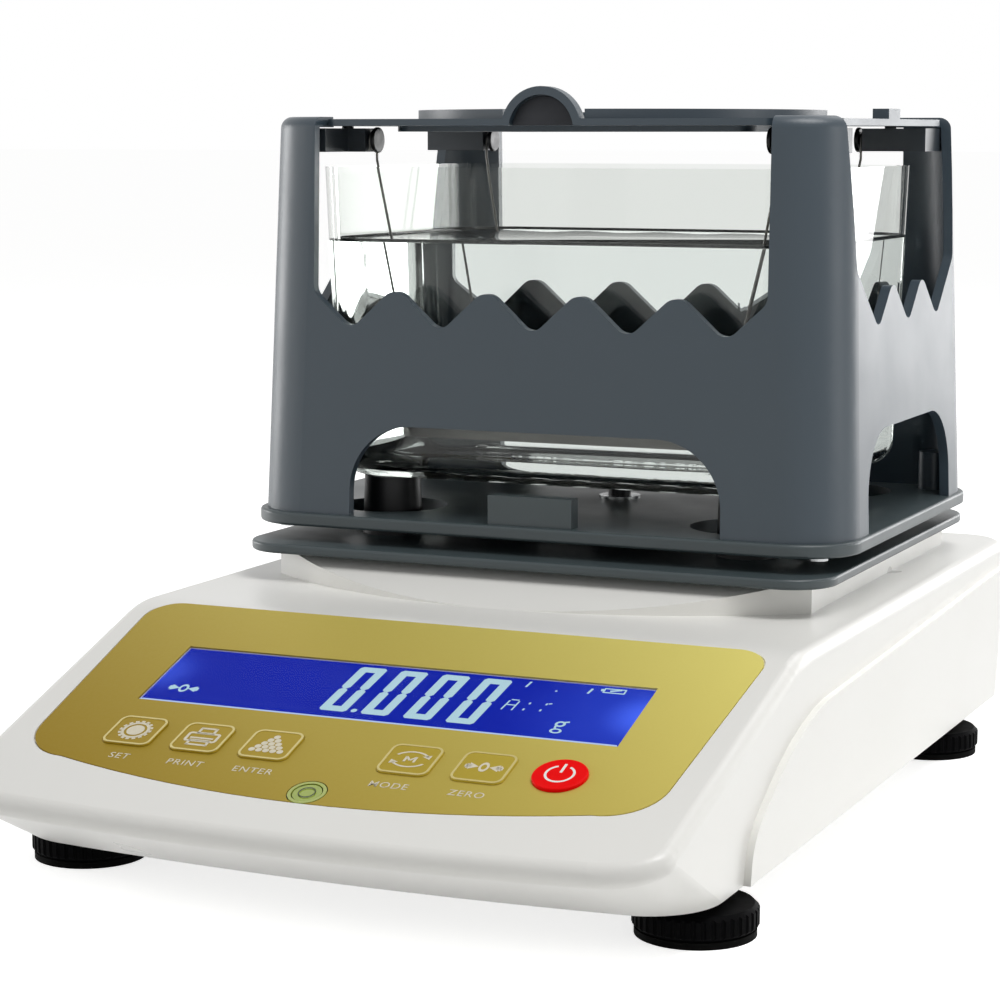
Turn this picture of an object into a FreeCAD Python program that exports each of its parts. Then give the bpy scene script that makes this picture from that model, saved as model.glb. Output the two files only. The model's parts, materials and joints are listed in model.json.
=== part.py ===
import FreeCAD, Part
import Sketcher
import math
import os

# Benchtop density meter: a balance housing, a weighed cage round a water tank,
# a hung basket in the water and a lift-off tray on top.
# Frame: +Z up, z = 0 on the table, +Y to the back, origin under the middle of the housing.

V = FreeCAD.Vector
doc = FreeCAD.newDocument("DensityMeter")
sheet = doc.addObject("Spreadsheet::Sheet", "size")

SIZES = [
    ("cutter_reach", 40.0, "how far cutting shapes run past the housing they cut"),
    # housing
    ("housing_back_y", 164.0, "back face of the housing"),
    ("chin_tuck", 30.7, "how far the front leans back from the ridge to the skirt"),
    ("chin_y", "=ridge_y + chin_tuck", "front of the housing at its bottom edge, on the middle line"),
    ("panel_below_overlay", 21.096, "panel slope below the overlay, down to the ridge"),
    ("ridge_y", "=crease_y - (overlay_top + overlay_length + panel_below_overlay) * cos(panel_tilt * 1deg)",
     "front ridge before it is rounded, on the middle line"),
    ("deck_run", 58.1, "deck between the panel slope and the boss corners"),
    ("crease_y", "=boss_corner_y - deck_run", "line where the panel slope meets the deck"),
    ("housing_height", 52.3, "cover from its skirt to the deck"),
    ("deck_z", "=skirt_z + housing_height", "top of the deck"),
    ("skirt_drop", 1.0, "skirt of the cover below the base pan"),
    ("skirt_z", "=pan_floor_z - skirt_drop", "bottom edge of the top cover"),
    ("panel_tilt", 18.5, "slope of the panel in degrees"),
    ("housing_beyond_plate", 5.7, "housing beyond the weighing plate at each side"),
    ("half_width", "=weighing_plate_half_width + housing_beyond_plate", "half width of the cover at the deck"),
    ("skirt_tuck", 3.0, "how far the sides lean in from the deck down to the skirt"),
    ("front_bulge", 7.0, "how far the middle of the front stands before its corners"),
    ("front_corner_radius", 20.0, "front corners in plan"),
    ("back_corner_radius", 15.0, "back corners in plan"),
    ("cover_wall", 2.5, "wall of the top cover"),
    ("edge_round", 3.4, "soft edge round the top of the cover"),
    ("crease_round", 40.0, "radius of the blend between panel slope and deck"),
    ("fender_proud", 1.9, "how far the fender stands out of the side"),
    ("fender_from_chin", 40.0, "front of the fender behind the chin"),
    ("fender_front_y", "=chin_y + fender_from_chin", "front of the fender at the skirt"),
    ("fender_lip", 12.0, "height of the fender's upright front edge"),
    ("fender_rise", 36.0, "height and reach of the fender's curved front"),
    ("fender_low_bend", 14.0, "bend at the foot of the fender's curve"),
    ("fender_high_bend", 90.0, "bend at the top of the fender's curve"),
    ("fender_back_height", 44.5, "fender at the back, above the skirt"),
    ("fender_back_z", "=skirt_z + fender_back_height", "top of the fender at the back"),
    # raised boss
    ("boss_from_side", 16.5, "deck beside the raised boss"),
    ("boss_half_width", "=half_width - boss_from_side", "raised boss"),
    ("boss_height", 8.5, "raised boss above the deck"),
    ("boss_top_z", "=deck_z + boss_height", "top of the raised boss"),
    ("boss_before_tank", 6.5, "front corners of the boss before the tank"),
    ("boss_corner_y", "=pan_y - tank_half_depth - boss_before_tank", "front corners of the boss"),
    ("boss_bulge", 30.0, "how far the boss front bows forward"),
    ("boss_behind_tank", 11.9, "boss behind the tank"),
    ("boss_back_y", "=pan_y + tank_half_depth + boss_behind_tank", "back of the boss"),
    ("boss_scoop_angle", 18.0, "slope of the scooped front of the boss"),
    ("boss_hole_radius", 22.0, "opening in the boss for the pan stem"),
    ("play", 0.3, "play between parts that drop into each other"),
    # panel
    ("overlay_top", 0.0, "top edge of the overlay, down the slope from the crease"),
    ("overlay_length", "=vial_drop + vial_radius - overlay_top",
     "overlay from its top edge to its lowest point"),
    ("overlay_from_side", 8.0, "housing beside the overlay, at its top"),
    ("overlay_top_half", "=half_width - overlay_from_side", "half width of the overlay at its top"),
    ("overlay_taper", 5.0, "how far each side of the overlay draws in"),
    ("overlay_low_half", "=overlay_top_half - overlay_taper", "half width of the overlay at its bottom"),
    ("overlay_bow", 9.0, "how far the overlay's bottom edge bows down"),
    ("overlay_top_round", 9.0, "upper corners of the overlay"),
    ("overlay_low_round", 15.0, "lower corners of the overlay"),
    ("overlay_thickness", 0.6, "membrane overlay"),
    ("window_width", 139.0, "display window"),
    ("window_height", 29.5, "display window"),
    ("window_below_edge", 23.45, "window below the overlay edge"),
    ("window_drop", "=overlay_top + window_below_edge + window_height / 2",
     "middle of the window, down the slope from the crease"),
    ("window_sunk", 0.2, "clear window below the overlay's face"),
    ("glass_thickness", 1.8, "display glass"),
    ("display_margin", 4.0, "display glass beyond the window"),
    ("holder_depth", 6.0, "display holder"),
    ("key_width", 14.4, "square keys"),
    ("key_height", 13.6, "square keys"),
    ("key_round", 2.6, "corners of the square keys"),
    ("keys_below_window", 9.45, "keys below the window"),
    ("key_drop", "=window_drop + window_height / 2 + keys_below_window + key_height / 2",
     "row of keys, down the slope from the crease"),
    ("key_pitch", 20.3, "key spacing inside a group"),
    ("key_inner_x", 19.9, "inner key of each group, from the middle"),
    ("key_proud", 0.5, "how far a key stands out of the overlay"),
    ("key_edge", 0.4, "soft edge of a key"),
    ("key_depth", 4.2, "key body below the panel face"),
    ("key_gap", 0.35, "play round a key"),
    ("key_travel", 0.6, "travel of a key"),
    ("power_gap", 20.4, "power key beyond the last square key"),
    ("power_x", "=key_inner_x + key_pitch + power_gap", "power key"),
    ("power_radius", 7.1, "power key"),
    ("power_proud", 0.9, "how far the power key stands out"),
    ("switch_side", 6.0, "tactile switch body"),
    ("switch_body", 3.5, "height of a switch body"),
    ("switch_pin_radius", 1.6, "switch plunger"),
    ("switch_gap", 0.75, "air between a key and its switch plunger at rest"),
    ("holder_leg", 3.5, "legs of the display holder down to the board"),
    ("board_drop", "=cover_wall + holder_depth + holder_leg", "top of the main board below the panel face"),
    ("board_thickness", 1.6, "main board"),
    ("board_beyond_window", 5.5, "main board beyond the window at each side"),
    ("board_width", "=window_width + 2 * board_beyond_window", "main board"),
    ("board_length", 66.0, "main board, down the slope"),
    ("board_top", 16.0, "upper edge of the board, down the slope from the crease"),
    ("vial_below_keys", 7.0, "level below the keys"),
    ("vial_drop", "=key_drop + key_height / 2 + vial_below_keys + vial_radius",
     "bubble level, down the slope from the crease"),
    ("vial_radius", 5.0, "outside of the level's cup"),
    ("vial_wall", 0.9, "wall of the level's cup"),
    ("vial_depth", 6.0, "depth of the level's cup"),
    ("vial_flange_radius", 6.2, "flange of the cup under the panel"),
    ("bubble_radius", 1.6, "bubble in the level"),
    ("bubble_sunk", 0.7, "top of the bubble below the panel face"),
    # base and feet
    ("foot_air", 2.0, "air between the foot necks and the base pan"),
    ("pan_floor_z", "=foot_pad_thickness + foot_wheel_height + foot_neck_height + foot_air",
     "underside of the base pan"),
    ("pan_floor_thickness", 2.5, "base pan"),
    ("pan_play", 0.5, "play between base pan and cover"),
    ("foot_from_side", 12.9, "feet in from the side of the housing"),
    ("foot_x", "=half_width - foot_from_side", "levelling feet"),
    ("foot_from_chin", 32.4, "front feet behind the chin"),
    ("foot_front_y", "=chin_y + foot_from_chin", "front feet"),
    ("foot_from_back", 54.8, "back feet before the back face"),
    ("foot_back_y", "=housing_back_y - foot_from_back", "back feet"),
    ("foot_radius", 16.0, "knurled foot wheel"),
    ("foot_pad_radius", 15.4, "rubber pad under the wheel"),
    ("foot_pad_thickness", 1.8, "rubber pad"),
    ("foot_wheel_height", 6.4, "knurled foot wheel"),
    ("foot_wheel_round", 1.2, "rounded rims of the wheel"),
    ("knurl_count", 40, "grooves round a foot wheel"),
    ("knurl_radius", 0.7, "radius of a groove"),
    ("knurl_depth", 0.5, "depth of a groove"),
    ("foot_neck_radius", 6.5, "neck between wheel and base"),
    ("foot_neck_height", 1.8, "neck between wheel and base"),
    ("stud_radius", 3.0, "threaded stud of a foot"),
    ("stud_reach", 18.0, "stud above the underside of the base pan"),
    ("stud_top_z", "=pan_floor_z + stud_reach", "top of the stud"),
    ("nut_radius", 5.0, "brass nut in the base"),
    ("nut_height", 9.0, "brass nut in the base"),
    ("nut_play", 0.06, "running play between stud and nut"),
    ("foot_boss_radius", 6.5, "boss round a nut"),
    ("foot_boss_height", 10.0, "boss above the base pan's floor"),
    ("cover_screw_radius", 1.5, "cover screw shank"),
    ("cover_screw_head", 3.0, "cover screw head radius"),
    ("cover_screw_head_height", 1.0, "cover screw head"),
    ("cover_screw_length", 12.0, "cover screw"),
    ("cover_screw_from_side", 19.5, "cover screws in from the side"),
    ("cover_screw_x", "=half_width - cover_screw_from_side", "cover screws"),
    ("cover_screw_front_y", "=crease_y", "front cover screws"),
    ("cover_screw_before_pan", 42.1, "middle cover screws before the pan axis"),
    ("cover_screw_mid_y", "=pan_y - cover_screw_before_pan", "middle cover screws"),
    ("cover_screw_from_back", 20.0, "back cover screws before the back face"),
    ("cover_screw_back_y", "=housing_back_y - cover_screw_from_back", "back cover screws"),
    ("cover_post_radius", 4.0, "screw post inside the cover"),
    # inside the housing
    ("cell_to_wall", 5.9, "load cell before the back wall"),
    ("cell_length", "=housing_back_y - cover_wall - cell_to_wall - pan_y + cell_tip", "load cell along y"),
    ("cell_width", 25.0, "load cell"),
    ("cell_height", 22.0, "load cell"),
    ("block_height", 10.0, "block under the fixed end of the cell"),
    ("cell_low_z", "=pan_floor_z + pan_floor_thickness + block_height", "underside of the load cell"),
    ("cell_hole_radius", 7.0, "flexure holes of the load cell"),
    ("cell_hole_pitch", 24.0, "spacing of the flexure holes"),
    ("cell_tip", 18.0, "free end of the cell before the pan stem's axis"),
    ("block_length", 34.0, "block under the fixed end of the cell"),
    ("block_width", 40.0, "block under the fixed end of the cell"),
    ("weigh_travel", 0.4, "how far the weighed frame sinks at full load"),
    ("weigh_gap", 0.5, "air under the pan stem that the travel uses"),
    ("stop_radius", 2.5, "overload stop screw"),
    ("stop_gap", 0.6, "air over the overload stop"),
    ("battery_length", 100.0, "battery pack along x"),
    ("battery_depth", 24.0, "battery pack along y"),
    ("battery_height", 24.0, "battery pack"),
    ("battery_behind_crease", 3.5, "middle of the battery pack behind the crease"),
    ("battery_y", "=crease_y + battery_behind_crease", "middle of the battery pack"),
    ("battery_soft", 1.0, "bevelled long edges of the battery pack"),
    ("clamp_thickness", 1.2, "battery clamp"),
    ("clamp_width", 14.0, "battery clamp"),
    ("clamp_foot", 10.0, "foot of the battery clamp"),
    ("jack_x", 55.0, "adapter jack"),
    ("socket_height", 18.0, "sockets above the underside of the base pan"),
    ("jack_z", "=pan_floor_z + socket_height", "height of the sockets at the back"),
    ("jack_radius", 5.5, "adapter jack barrel"),
    ("jack_bore", 3.2, "adapter jack opening"),
    ("jack_pin", 1.0, "pin inside the adapter jack"),
    ("jack_length", 14.0, "adapter jack"),
    ("jack_flange", 8.0, "flange of the adapter jack"),
    ("port_x", -50.0, "serial port"),
    ("port_width", 31.0, "serial port flange"),
    ("port_height", 12.6, "serial port flange"),
    ("port_shell_width", 17.0, "serial port shell"),
    ("port_shell_height", 8.6, "serial port shell"),
    ("port_depth", 11.0, "serial port behind the wall"),
    ("port_shell_wall", 0.7, "metal shell of the serial port"),
    ("jack_back_wall", 2.0, "closed end of the adapter jack"),
    ("flange_thickness", 1.4, "flanges of the sockets"),
    # plates
    ("plate_to_back", 28.1, "deck behind the weighing plate"),
    ("pan_y", "=housing_back_y - plate_to_back - weighing_plate_half_depth", "axis of the weighing pan"),
    ("plate_beyond_boss", 7.7, "tank base plate beyond the boss at each side"),
    ("tank_plate_half_width", "=boss_half_width + plate_beyond_boss", "tank base plate"),
    ("plate_before_boss", 14.5, "tank base plate before the boss corners"),
    ("tank_plate_front_y", "=boss_corner_y - plate_before_boss", "front of the tank base plate"),
    ("plate_behind_boss", 6.0, "tank base plate behind the boss"),
    ("tank_plate_back_y", "=boss_back_y + plate_behind_boss", "back of the tank base plate"),
    ("tank_plate_thickness", 3.0, "tank base plate"),
    ("tank_plate_hole", 19.0, "opening of the tank base plate for the stem"),
    ("tank_plate_corner", 14.0, "corners of the tank base plate"),
    ("weighing_plate_corner", 18.0, "corners of the weighing plate"),
    ("plate_edge_round", 0.9, "soft edges of the two plates"),
    ("plate_screw_radius", 2.0, "screws of the tank base plate"),
    ("plate_screw_head", 3.8, "heads of those screws"),
    ("plate_screw_head_height", 1.6, "heads of those screws"),
    ("plate_screw_from_side", 11.0, "screws of the tank base plate in from the boss side"),
    ("plate_screw_x", "=boss_half_width - plate_screw_from_side", "screws of the tank base plate"),
    ("plate_screw_from_pillar", 13.0, "screws of the tank base plate in from the pillars"),
    ("plate_screw_y", "=pillar_y - plate_screw_from_pillar", "the same, before and behind the pan axis"),
    ("spider_air", 2.0, "air between the spider and the tank base plate"),
    ("weighing_plate_top_z",
     "=boss_top_z + tank_plate_thickness + spider_air + spider_thickness + weighing_plate_thickness", "top of the weighing plate"),
    ("weighing_plate_thickness", 4.0, "weighing plate"),
    ("plate_beyond_cage_side", 1.3, "weighing plate beyond the cage, left and right"),
    ("weighing_plate_half_width", "=cage_half_width + plate_beyond_cage_side", "weighing plate"),
    ("plate_beyond_cage_end", 1.8, "weighing plate beyond the cage, front and back"),
    ("weighing_plate_half_depth", "=cage_half_depth + plate_beyond_cage_end", "weighing plate"),
    ("pillar_inset_side", 21.5, "tank pillars in from the tank rim, left and right"),
    ("pillar_x", "=tank_half_width - pillar_inset_side", "tank pillars, from the middle"),
    ("pillar_inset_end", 16.5, "tank pillars in from the tank rim, front and back"),
    ("pillar_y", "=tank_half_depth - pillar_inset_end", "tank pillars, from the pan axis"),
    ("pillar_low_radius", 9.3, "tank pillar at the plate"),
    ("pillar_top_radius", 8.6, "tank pillar at the tank"),
    ("pillar_height", 18.0, "tank pillar"),
    ("pillar_hole_radius", 17.0, "clearance holes of the weighing plate"),
    ("tab_width", 26.6, "front tab of the weighing plate"),
    ("tab_height", 8.7, "front tab of the weighing plate"),
    ("tab_depth", 5.0, "front tab of the weighing plate"),
    ("tab_inset", 2.1, "front tab behind the plate's edge"),
    ("spider_inset_side", 40.5, "spider arms in from the weighing plate, left and right"),
    ("spider_width", "=2 * (weighing_plate_half_width - spider_inset_side)", "spider arms along x"),
    ("spider_inset_end", 30.3, "spider arms in from the weighing plate, front and back"),
    ("spider_depth", "=2 * (weighing_plate_half_depth - spider_inset_end)", "spider arms along y"),
    ("spider_arm", 18.0, "width of a spider arm"),
    ("spider_thickness", 2.5, "spider arms"),
    ("stem_radius", 10.0, "stem between cell and spider"),
    ("pan_screw_radius", 2.5, "centre screw shank"),
    ("pan_screw_head", 3.6, "centre screw head radius"),
    ("pan_screw_head_height", 3.6, "centre screw head"),
    ("pan_screw_length", 14.0, "centre screw shank below the plate top"),
    ("pan_screw_socket", 1.9, "hexagon socket of the centre screw"),
    ("washer_radius", 6.5, "bright washer"),
    ("washer_thickness", 0.8, "bright washer"),
    # cage
    ("post_above_arm", 3.4, "cage posts above the hook arms"),
    ("cage_height", "=arm_top + post_above_arm", "cage above the weighing plate"),
    ("cage_beyond_tank_side", 15.0, "cage beyond the tank rim, left and right"),
    ("cage_half_width", "=tank_half_width + cage_beyond_tank_side", "cage at its foot"),
    ("cage_beyond_tank_end", 11.0, "cage beyond the tank rim, front and back"),
    ("cage_half_depth", "=tank_half_depth + cage_beyond_tank_end", "cage at its foot"),
    ("cage_lean", 4.0, "how far each wall leans in from foot to top"),
    ("cage_corner", 18.5, "outer corners of the cage"),
    ("cage_wall", 3.0, "wall of the cage"),
    ("cage_top_round", 3.5, "rounded tops of the posts"),
    ("front_post_width", 23.0, "posts seen from the front, at the foot"),
    ("front_gap_half", "=cage_half_width - front_post_width", "half the gap between the front posts"),
    ("side_post_width", 20.0, "posts seen from the side, at the foot"),
    ("side_gap_half", "=cage_half_depth - side_post_width", "half the gap between the side posts, at its foot"),
    ("side_gap_flare", 4.5, "how far the side gap widens to its top, each way"),
    ("side_gap_top", "=side_gap_half + side_gap_flare", "half the gap between the side posts, at their tops"),
    ("front_notch_count", 5, "notches of the front and back walls"),
    ("front_notch_margin", 12.3, "outer notches in from the front posts"),
    ("front_notch_pitch", "=2 * (front_gap_half - front_notch_margin) / (front_notch_count - 1)",
     "notches of the front and back walls"),
    ("side_notch_count", 3, "notches of the side walls"),
    ("side_notch_margin", 20.4, "outer notches in from the side posts"),
    ("side_notch_pitch", "=2 * (side_gap_half - side_notch_margin) / (side_notch_count - 1)",
     "notches of the side walls"),
    ("front_notch_drop", 63.2, "bottom of the front notches below the post tops"),
    ("front_notch_low", "=cage_height - front_notch_drop", "bottom of the front notches above the plate"),
    ("side_notch_drop", 61.0, "bottom of the side notches below the post tops"),
    ("side_notch_low", "=cage_height - side_notch_drop", "bottom of the side notches above the plate"),
    ("notch_rise", 13.5, "height of the teeth before rounding"),
    ("tooth_round", 5.0, "rounded teeth"),
    ("notch_round", 4.5, "rounded notches"),
    ("front_arch_inset", 35.5, "front and back arches in from the cage side"),
    ("front_arch_half", "=cage_half_width - front_arch_inset", "arch of the front and back walls"),
    ("front_arch_height", 27.5, "arch of the front and back walls"),
    ("side_arch_inset", 27.5, "side arches in from the cage ends"),
    ("side_arch_half", "=cage_half_depth - side_arch_inset", "arch of the side walls"),
    ("side_arch_height", 29.0, "arch of the side walls"),
    ("arch_round", 20.0, "upper corners of the arches"),
    ("cage_screw_inset_side", 9.6, "cage screws in from the cage side"),
    ("cage_screw_x", "=cage_half_width - cage_screw_inset_side", "cage screws"),
    ("cage_screw_inset_end", 10.1, "cage screws in from the cage ends"),
    ("cage_screw_y", "=cage_half_depth - cage_screw_inset_end", "cage screws, from the pan axis"),
    ("cage_boss_radius", 5.0, "screw bosses inside the posts"),
    ("cage_boss_height", 12.0, "screw bosses inside the posts"),
    ("cage_boss_end", 2.0, "closed end of those bosses"),
    ("cage_screw_radius", 1.5, "cage screws"),
    ("cage_screw_head", 2.9, "cage screw heads"),
    ("cage_screw_head_height", 1.6, "cage screw heads"),
    ("cage_screw_length", 12.0, "cage screws"),
    # hook arms
    ("arm_air", 4.4, "air between the tank rim and a hook arm"),
    ("arm_top",
     "=boss_top_z + tank_plate_thickness + pillar_height + tank_height + arm_air + arm_height"
     " - weighing_plate_top_z", "top of the hook arms above the weighing plate"),
    ("arm_height", 7.1, "hook arm"),
    ("arm_root_depth", 22.5, "root of a hook arm along the post"),
    ("arm_low_y", "=arm_root_y - arm_root_depth", "inner side of a hook arm, from the pan axis"),
    ("arm_width", 8.0, "hook arm"),
    ("arm_over_tank", 14.0, "how far a hook arm reaches over the tank"),
    ("arm_tip_x", "=tank_half_width - arm_over_tank", "inner end of a hook arm"),
    ("arm_root_inset_side", 8.6, "root of a hook arm in from the cage side"),
    ("arm_root_x", "=cage_half_width - arm_root_inset_side", "outer end of a hook arm"),
    ("arm_root_inset_end", 10.5, "root of a hook arm in from the cage ends"),
    ("arm_root_y", "=cage_half_depth - arm_root_inset_end", "outer side of a hook arm's root"),
    ("nub_radius", 1.8, "nub under the tray"),
    ("nub_from_tip", 8.0, "nub under the tray, from the arm tip"),
    ("nub_x", "=arm_tip_x + nub_from_tip", "nub under the tray"),
    ("knob_radius", 3.9, "knob disc"),
    ("knob_groove_radius", 1.7, "groove of the knob"),
    ("knob_disc", 1.3, "thickness of the knob disc"),
    ("knob_edge", 0.4, "soft edges of the knob disc"),
    ("knob_groove", 1.5, "width of the groove"),
    # tray
    ("tray_thickness", 2.0, "tray"),
    ("tray_gap", 0.7, "tray above the hook arms, on the nubs"),
    ("tray_inset_end", 8.0, "tray in from the foot of the cage, front and back"),
    ("tray_half_depth", "=cage_half_depth - tray_inset_end", "tray between the front posts"),
    ("tray_inset_side", 7.5, "tray in from the foot of the cage, left and right"),
    ("tray_half_width", "=cage_half_width - tray_inset_side", "tray between the side posts"),
    ("tray_play", 0.8, "play between tray and posts"),
    ("tray_corner", 4.0, "outer corners of the tray"),
    ("ring_inset", 0.8, "raised pan ring in from the tray edge"),
    ("ring_radius", "=tray_half_depth - ring_inset", "raised pan ring"),
    ("ring_width", 2.0, "raised pan ring"),
    ("ring_height", 2.8, "raised pan ring"),
    ("lip_to_arm", 8.0, "locating rim inside the arm tips"),
    ("lip_half_width", "=arm_tip_x - lip_to_arm", "locating rim under the tray"),
    ("lip_inset_end", 18.8, "locating rim in from the front and back of the tray"),
    ("lip_half_depth", "=tray_half_depth - lip_inset_end", "locating rim under the tray"),
    ("lip_wall", 2.0, "locating rim under the tray"),
    ("lip_corner", 6.0, "locating rim under the tray"),
    ("lip_height", 1.7, "locating rim under the tray"),
    ("finger_radius", 12.6, "finger tab"),
    ("finger_sink", 3.3, "centre of the tab below the tray's top"),
    ("finger_rim", 2.4, "rim of the finger tab"),
    ("finger_depth", 4.0, "finger tab"),
    ("finger_web", 1.2, "thin back of the finger tab"),
    ("stop_nub_width", 5.0, "small stop on the tray's right edge"),
    ("stop_nub_length", 12.0, "small stop on the tray's right edge"),
    ("stop_nub_height", 3.0, "small stop on the tray's right edge"),
    # tank
    ("tank_half_width", 79.5, "tank at its rim"),
    ("tank_half_depth", 61.0, "tank at its rim"),
    ("tank_corner", 19.0, "tank corners"),
    ("tank_height", 94.5, "tank"),
    ("tank_lean", 3.0, "how far the tank walls lean in down to the bottom"),
    ("tank_wall", 2.5, "tank wall"),
    ("tank_floor", 3.0, "tank floor"),
    ("tank_bottom_round", 8.0, "rounded bottom edge of the tank"),
    # basket
    ("basket_to_tank_side", 22.5, "basket inside the tank rim, left and right"),
    ("basket_half_width", "=tank_half_width - basket_to_tank_side", "hung basket"),
    ("basket_to_tank_end", 23.5, "basket inside the tank rim, front and back"),
    ("basket_half_depth", "=tank_half_depth - basket_to_tank_end", "hung basket"),
    ("basket_corner", 8.0, "hung basket"),
    ("basket_air", 9.2, "basket above the tank floor"),
    ("basket_z", "=boss_top_z + tank_plate_thickness + pillar_height + tank_floor + basket_air",
     "underside of the basket plate"),
    ("basket_plate", 1.0, "basket plate"),
    ("basket_rim", 5.0, "upright rim of the basket"),
    ("basket_hole_radius", 3.0, "holes of the basket plate"),
    ("basket_hole_pitch", 14.0, "holes of the basket plate"),
    ("wire_radius", 0.4, "basket wires"),
    ("hook_drop", 6.0, "straight wire below the hook"),
]

for row, (alias, value, note) in enumerate(SIZES, start=1):
    sheet.set("A%d" % row, note)
    sheet.setAlias("B%d" % row, alias)
for row, (alias, value, note) in enumerate(SIZES, start=1):
    sheet.set("B%d" % row, str(value))
doc.recompute()


def size(alias):
    """Value of one cell of the sheet."""
    return float(sheet.get(alias))


PARTS = []
CORNERS = {"front_left": (-1, -1), "front_right": (1, -1), "back_left": (-1, 1), "back_right": (1, 1)}


def sub_part(thing, node):
    """Names a finished piece: its Label is the name of its node and file."""
    thing.Label = node
    PARTS.append(thing)
    return thing


def title(words):
    return words.title().replace("_", "")


def bind(thing, **rules):
    """Ties properties to the sheet. In a property's name, __ stands for a dot."""
    for prop, rule in rules.items():
        thing.setExpression(prop.replace("__", "."), rule)
    return thing


def box(name, wide, deep, high, x, y, z):
    """Block whose six sizes are rules; x, y and z are its lowest corner."""
    return bind(doc.addObject("Part::Box", name), Length=wide, Width=deep, Height=high,
                Placement__Base__x=x, Placement__Base__y=y, Placement__Base__z=z)


def rod(name, radius, high, x, y, z):
    """Upright cylinder whose sizes are rules."""
    return bind(doc.addObject("Part::Cylinder", name), Radius=radius, Height=high,
                Placement__Base__x=x, Placement__Base__y=y, Placement__Base__z=z)


def fuse(name, things):
    result = doc.addObject("Part::MultiFuse", name)
    result.Shapes = things
    return result


def cut(name, base, tools):
    """Base without all the tools."""
    result = doc.addObject("Part::Cut", name)
    result.Base = base
    result.Tool = tools[0] if len(tools) == 1 else fuse(name + "Tools", tools)
    return result


def group(name, things):
    """Several like pieces in one node."""
    result = doc.addObject("Part::Compound", name)
    result.Links = things
    return result


def shape_part(name, shape):
    """Piece whose shape is made by this file's own functions."""
    result = doc.addObject("Part::Feature", name)
    result.Shape = shape
    return result


# ---------------------------------------------------------------- sketched bodies

def new_body(name):
    return doc.addObject("PartDesign::Body", name)


def sketch(body, name, role):
    """Empty sketch on one of the body's own origin planes."""
    result = body.newObject("Sketcher::SketchObject", name)
    plane = next(f for f in body.Origin.OriginFeatures if f.Role == role)
    result.AttachmentSupport = (plane, [""])
    result.MapMode = "FlatFace"
    return result


def tie(drawing, kind, geometry, point, rule, name):
    """Fixes one coordinate or radius of a sketch by a rule."""
    value = float(sheet.evalExpression(rule.replace("size.", "")))
    if point is None:
        index = drawing.addConstraint(Sketcher.Constraint(kind, geometry, value))
    else:
        index = drawing.addConstraint(Sketcher.Constraint(kind, geometry, point, value))
    drawing.renameConstraint(index, name)
    drawing.setExpression("Constraints." + name, rule)


def rule_value(rule):
    return float(sheet.evalExpression(rule.replace("size.", "")))


def draw_circle(drawing, name, radius, x, y):
    """Circle with its centre and radius tied to rules."""
    centre = V(rule_value(x), rule_value(y), 0)
    circle = drawing.addGeometry(Part.Circle(centre, V(0, 0, 1), rule_value(radius)), False)
    tie(drawing, "Radius", circle, None, radius, name + "_radius")
    tie(drawing, "DistanceX", circle, 3, x, name + "_x")
    tie(drawing, "DistanceY", circle, 3, y, name + "_y")


def draw_outline(drawing, name, points):
    """Closed run of straight lines whose corners are tied to rules."""
    spots = [V(rule_value(x), rule_value(y), 0) for x, y in points]
    lines = [drawing.addGeometry(Part.LineSegment(spots[i], spots[(i + 1) % len(spots)]), False)
             for i in range(len(spots))]
    for i, one in enumerate(lines):
        drawing.addConstraint(Sketcher.Constraint("Coincident", one, 2, lines[(i + 1) % len(lines)], 1))
        tie(drawing, "DistanceX", one, 1, points[i][0], "%s_x%d" % (name, i))
        tie(drawing, "DistanceY", one, 1, points[i][1], "%s_y%d" % (name, i))


def pad(body, name, drawing, rule):
    feature = body.newObject("PartDesign::Pad", name)
    feature.Profile = drawing
    bind(feature, Length=rule)
    drawing.Visibility = False
    doc.recompute()
    return feature


def pocket(body, name, drawing):
    """Cuts a sketch right through the body, both ways."""
    before = body.Shape.Volume
    feature = body.newObject("PartDesign::Pocket", name)
    feature.Profile = drawing
    feature.Type = "ThroughAll"
    feature.Midplane = True
    doc.recompute()
    if feature.Shape.Volume >= before:
        raise RuntimeError(name + " cuts nothing")
    return feature


def rim_edges(shape, levels, chooser=None):
    """Names of the edges that lie flat at one of the heights."""
    flat = 1e-4
    names = []
    for i, edge in enumerate(shape.Edges, start=1):
        low, high = edge.BoundBox.ZMin, edge.BoundBox.ZMax
        if any(abs(low - z) < flat and abs(high - z) < flat for z in levels):
            if chooser is None or chooser(edge):
                names.append("Edge%d" % i)
    return names


# ---------------------------------------------------------------- outlines

def arc(start, middle, end):
    return Part.Arc(start, middle, end).toShape()


def line(start, end):
    return Part.LineSegment(start, end).toShape()


def corner_between_lines(corner, towards, onwards, radius):
    """Arc that rounds a corner: its first, middle and last point."""
    to_first = (towards - corner).normalize()
    to_last = (onwards - corner).normalize()
    half_angle = to_first.getAngle(to_last) / 2
    reach = radius / math.tan(half_angle)
    inward = (to_first + to_last).normalize()
    centre = corner + inward * (radius / math.sin(half_angle))
    return corner + to_first * reach, centre - inward * radius, corner + to_last * reach


def rounded_wire(points, radii):
    """Closed wire through corner points, each corner rounded by its own radius."""
    count = len(points)
    cuts = []
    for i, here in enumerate(points):
        if radii[i] > 0:
            cuts.append(corner_between_lines(here, points[i - 1], points[(i + 1) % count], radii[i]))
        else:
            cuts.append((here, None, here))
    edges = []
    for i in range(count):
        first, middle, last = cuts[i]
        if middle is not None:
            edges.append(arc(first, middle, last))
        following = cuts[(i + 1) % count][0]
        if last.distanceToPoint(following) > 1e-6:
            edges.append(line(last, following))
    return Part.Wire(edges)


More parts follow.
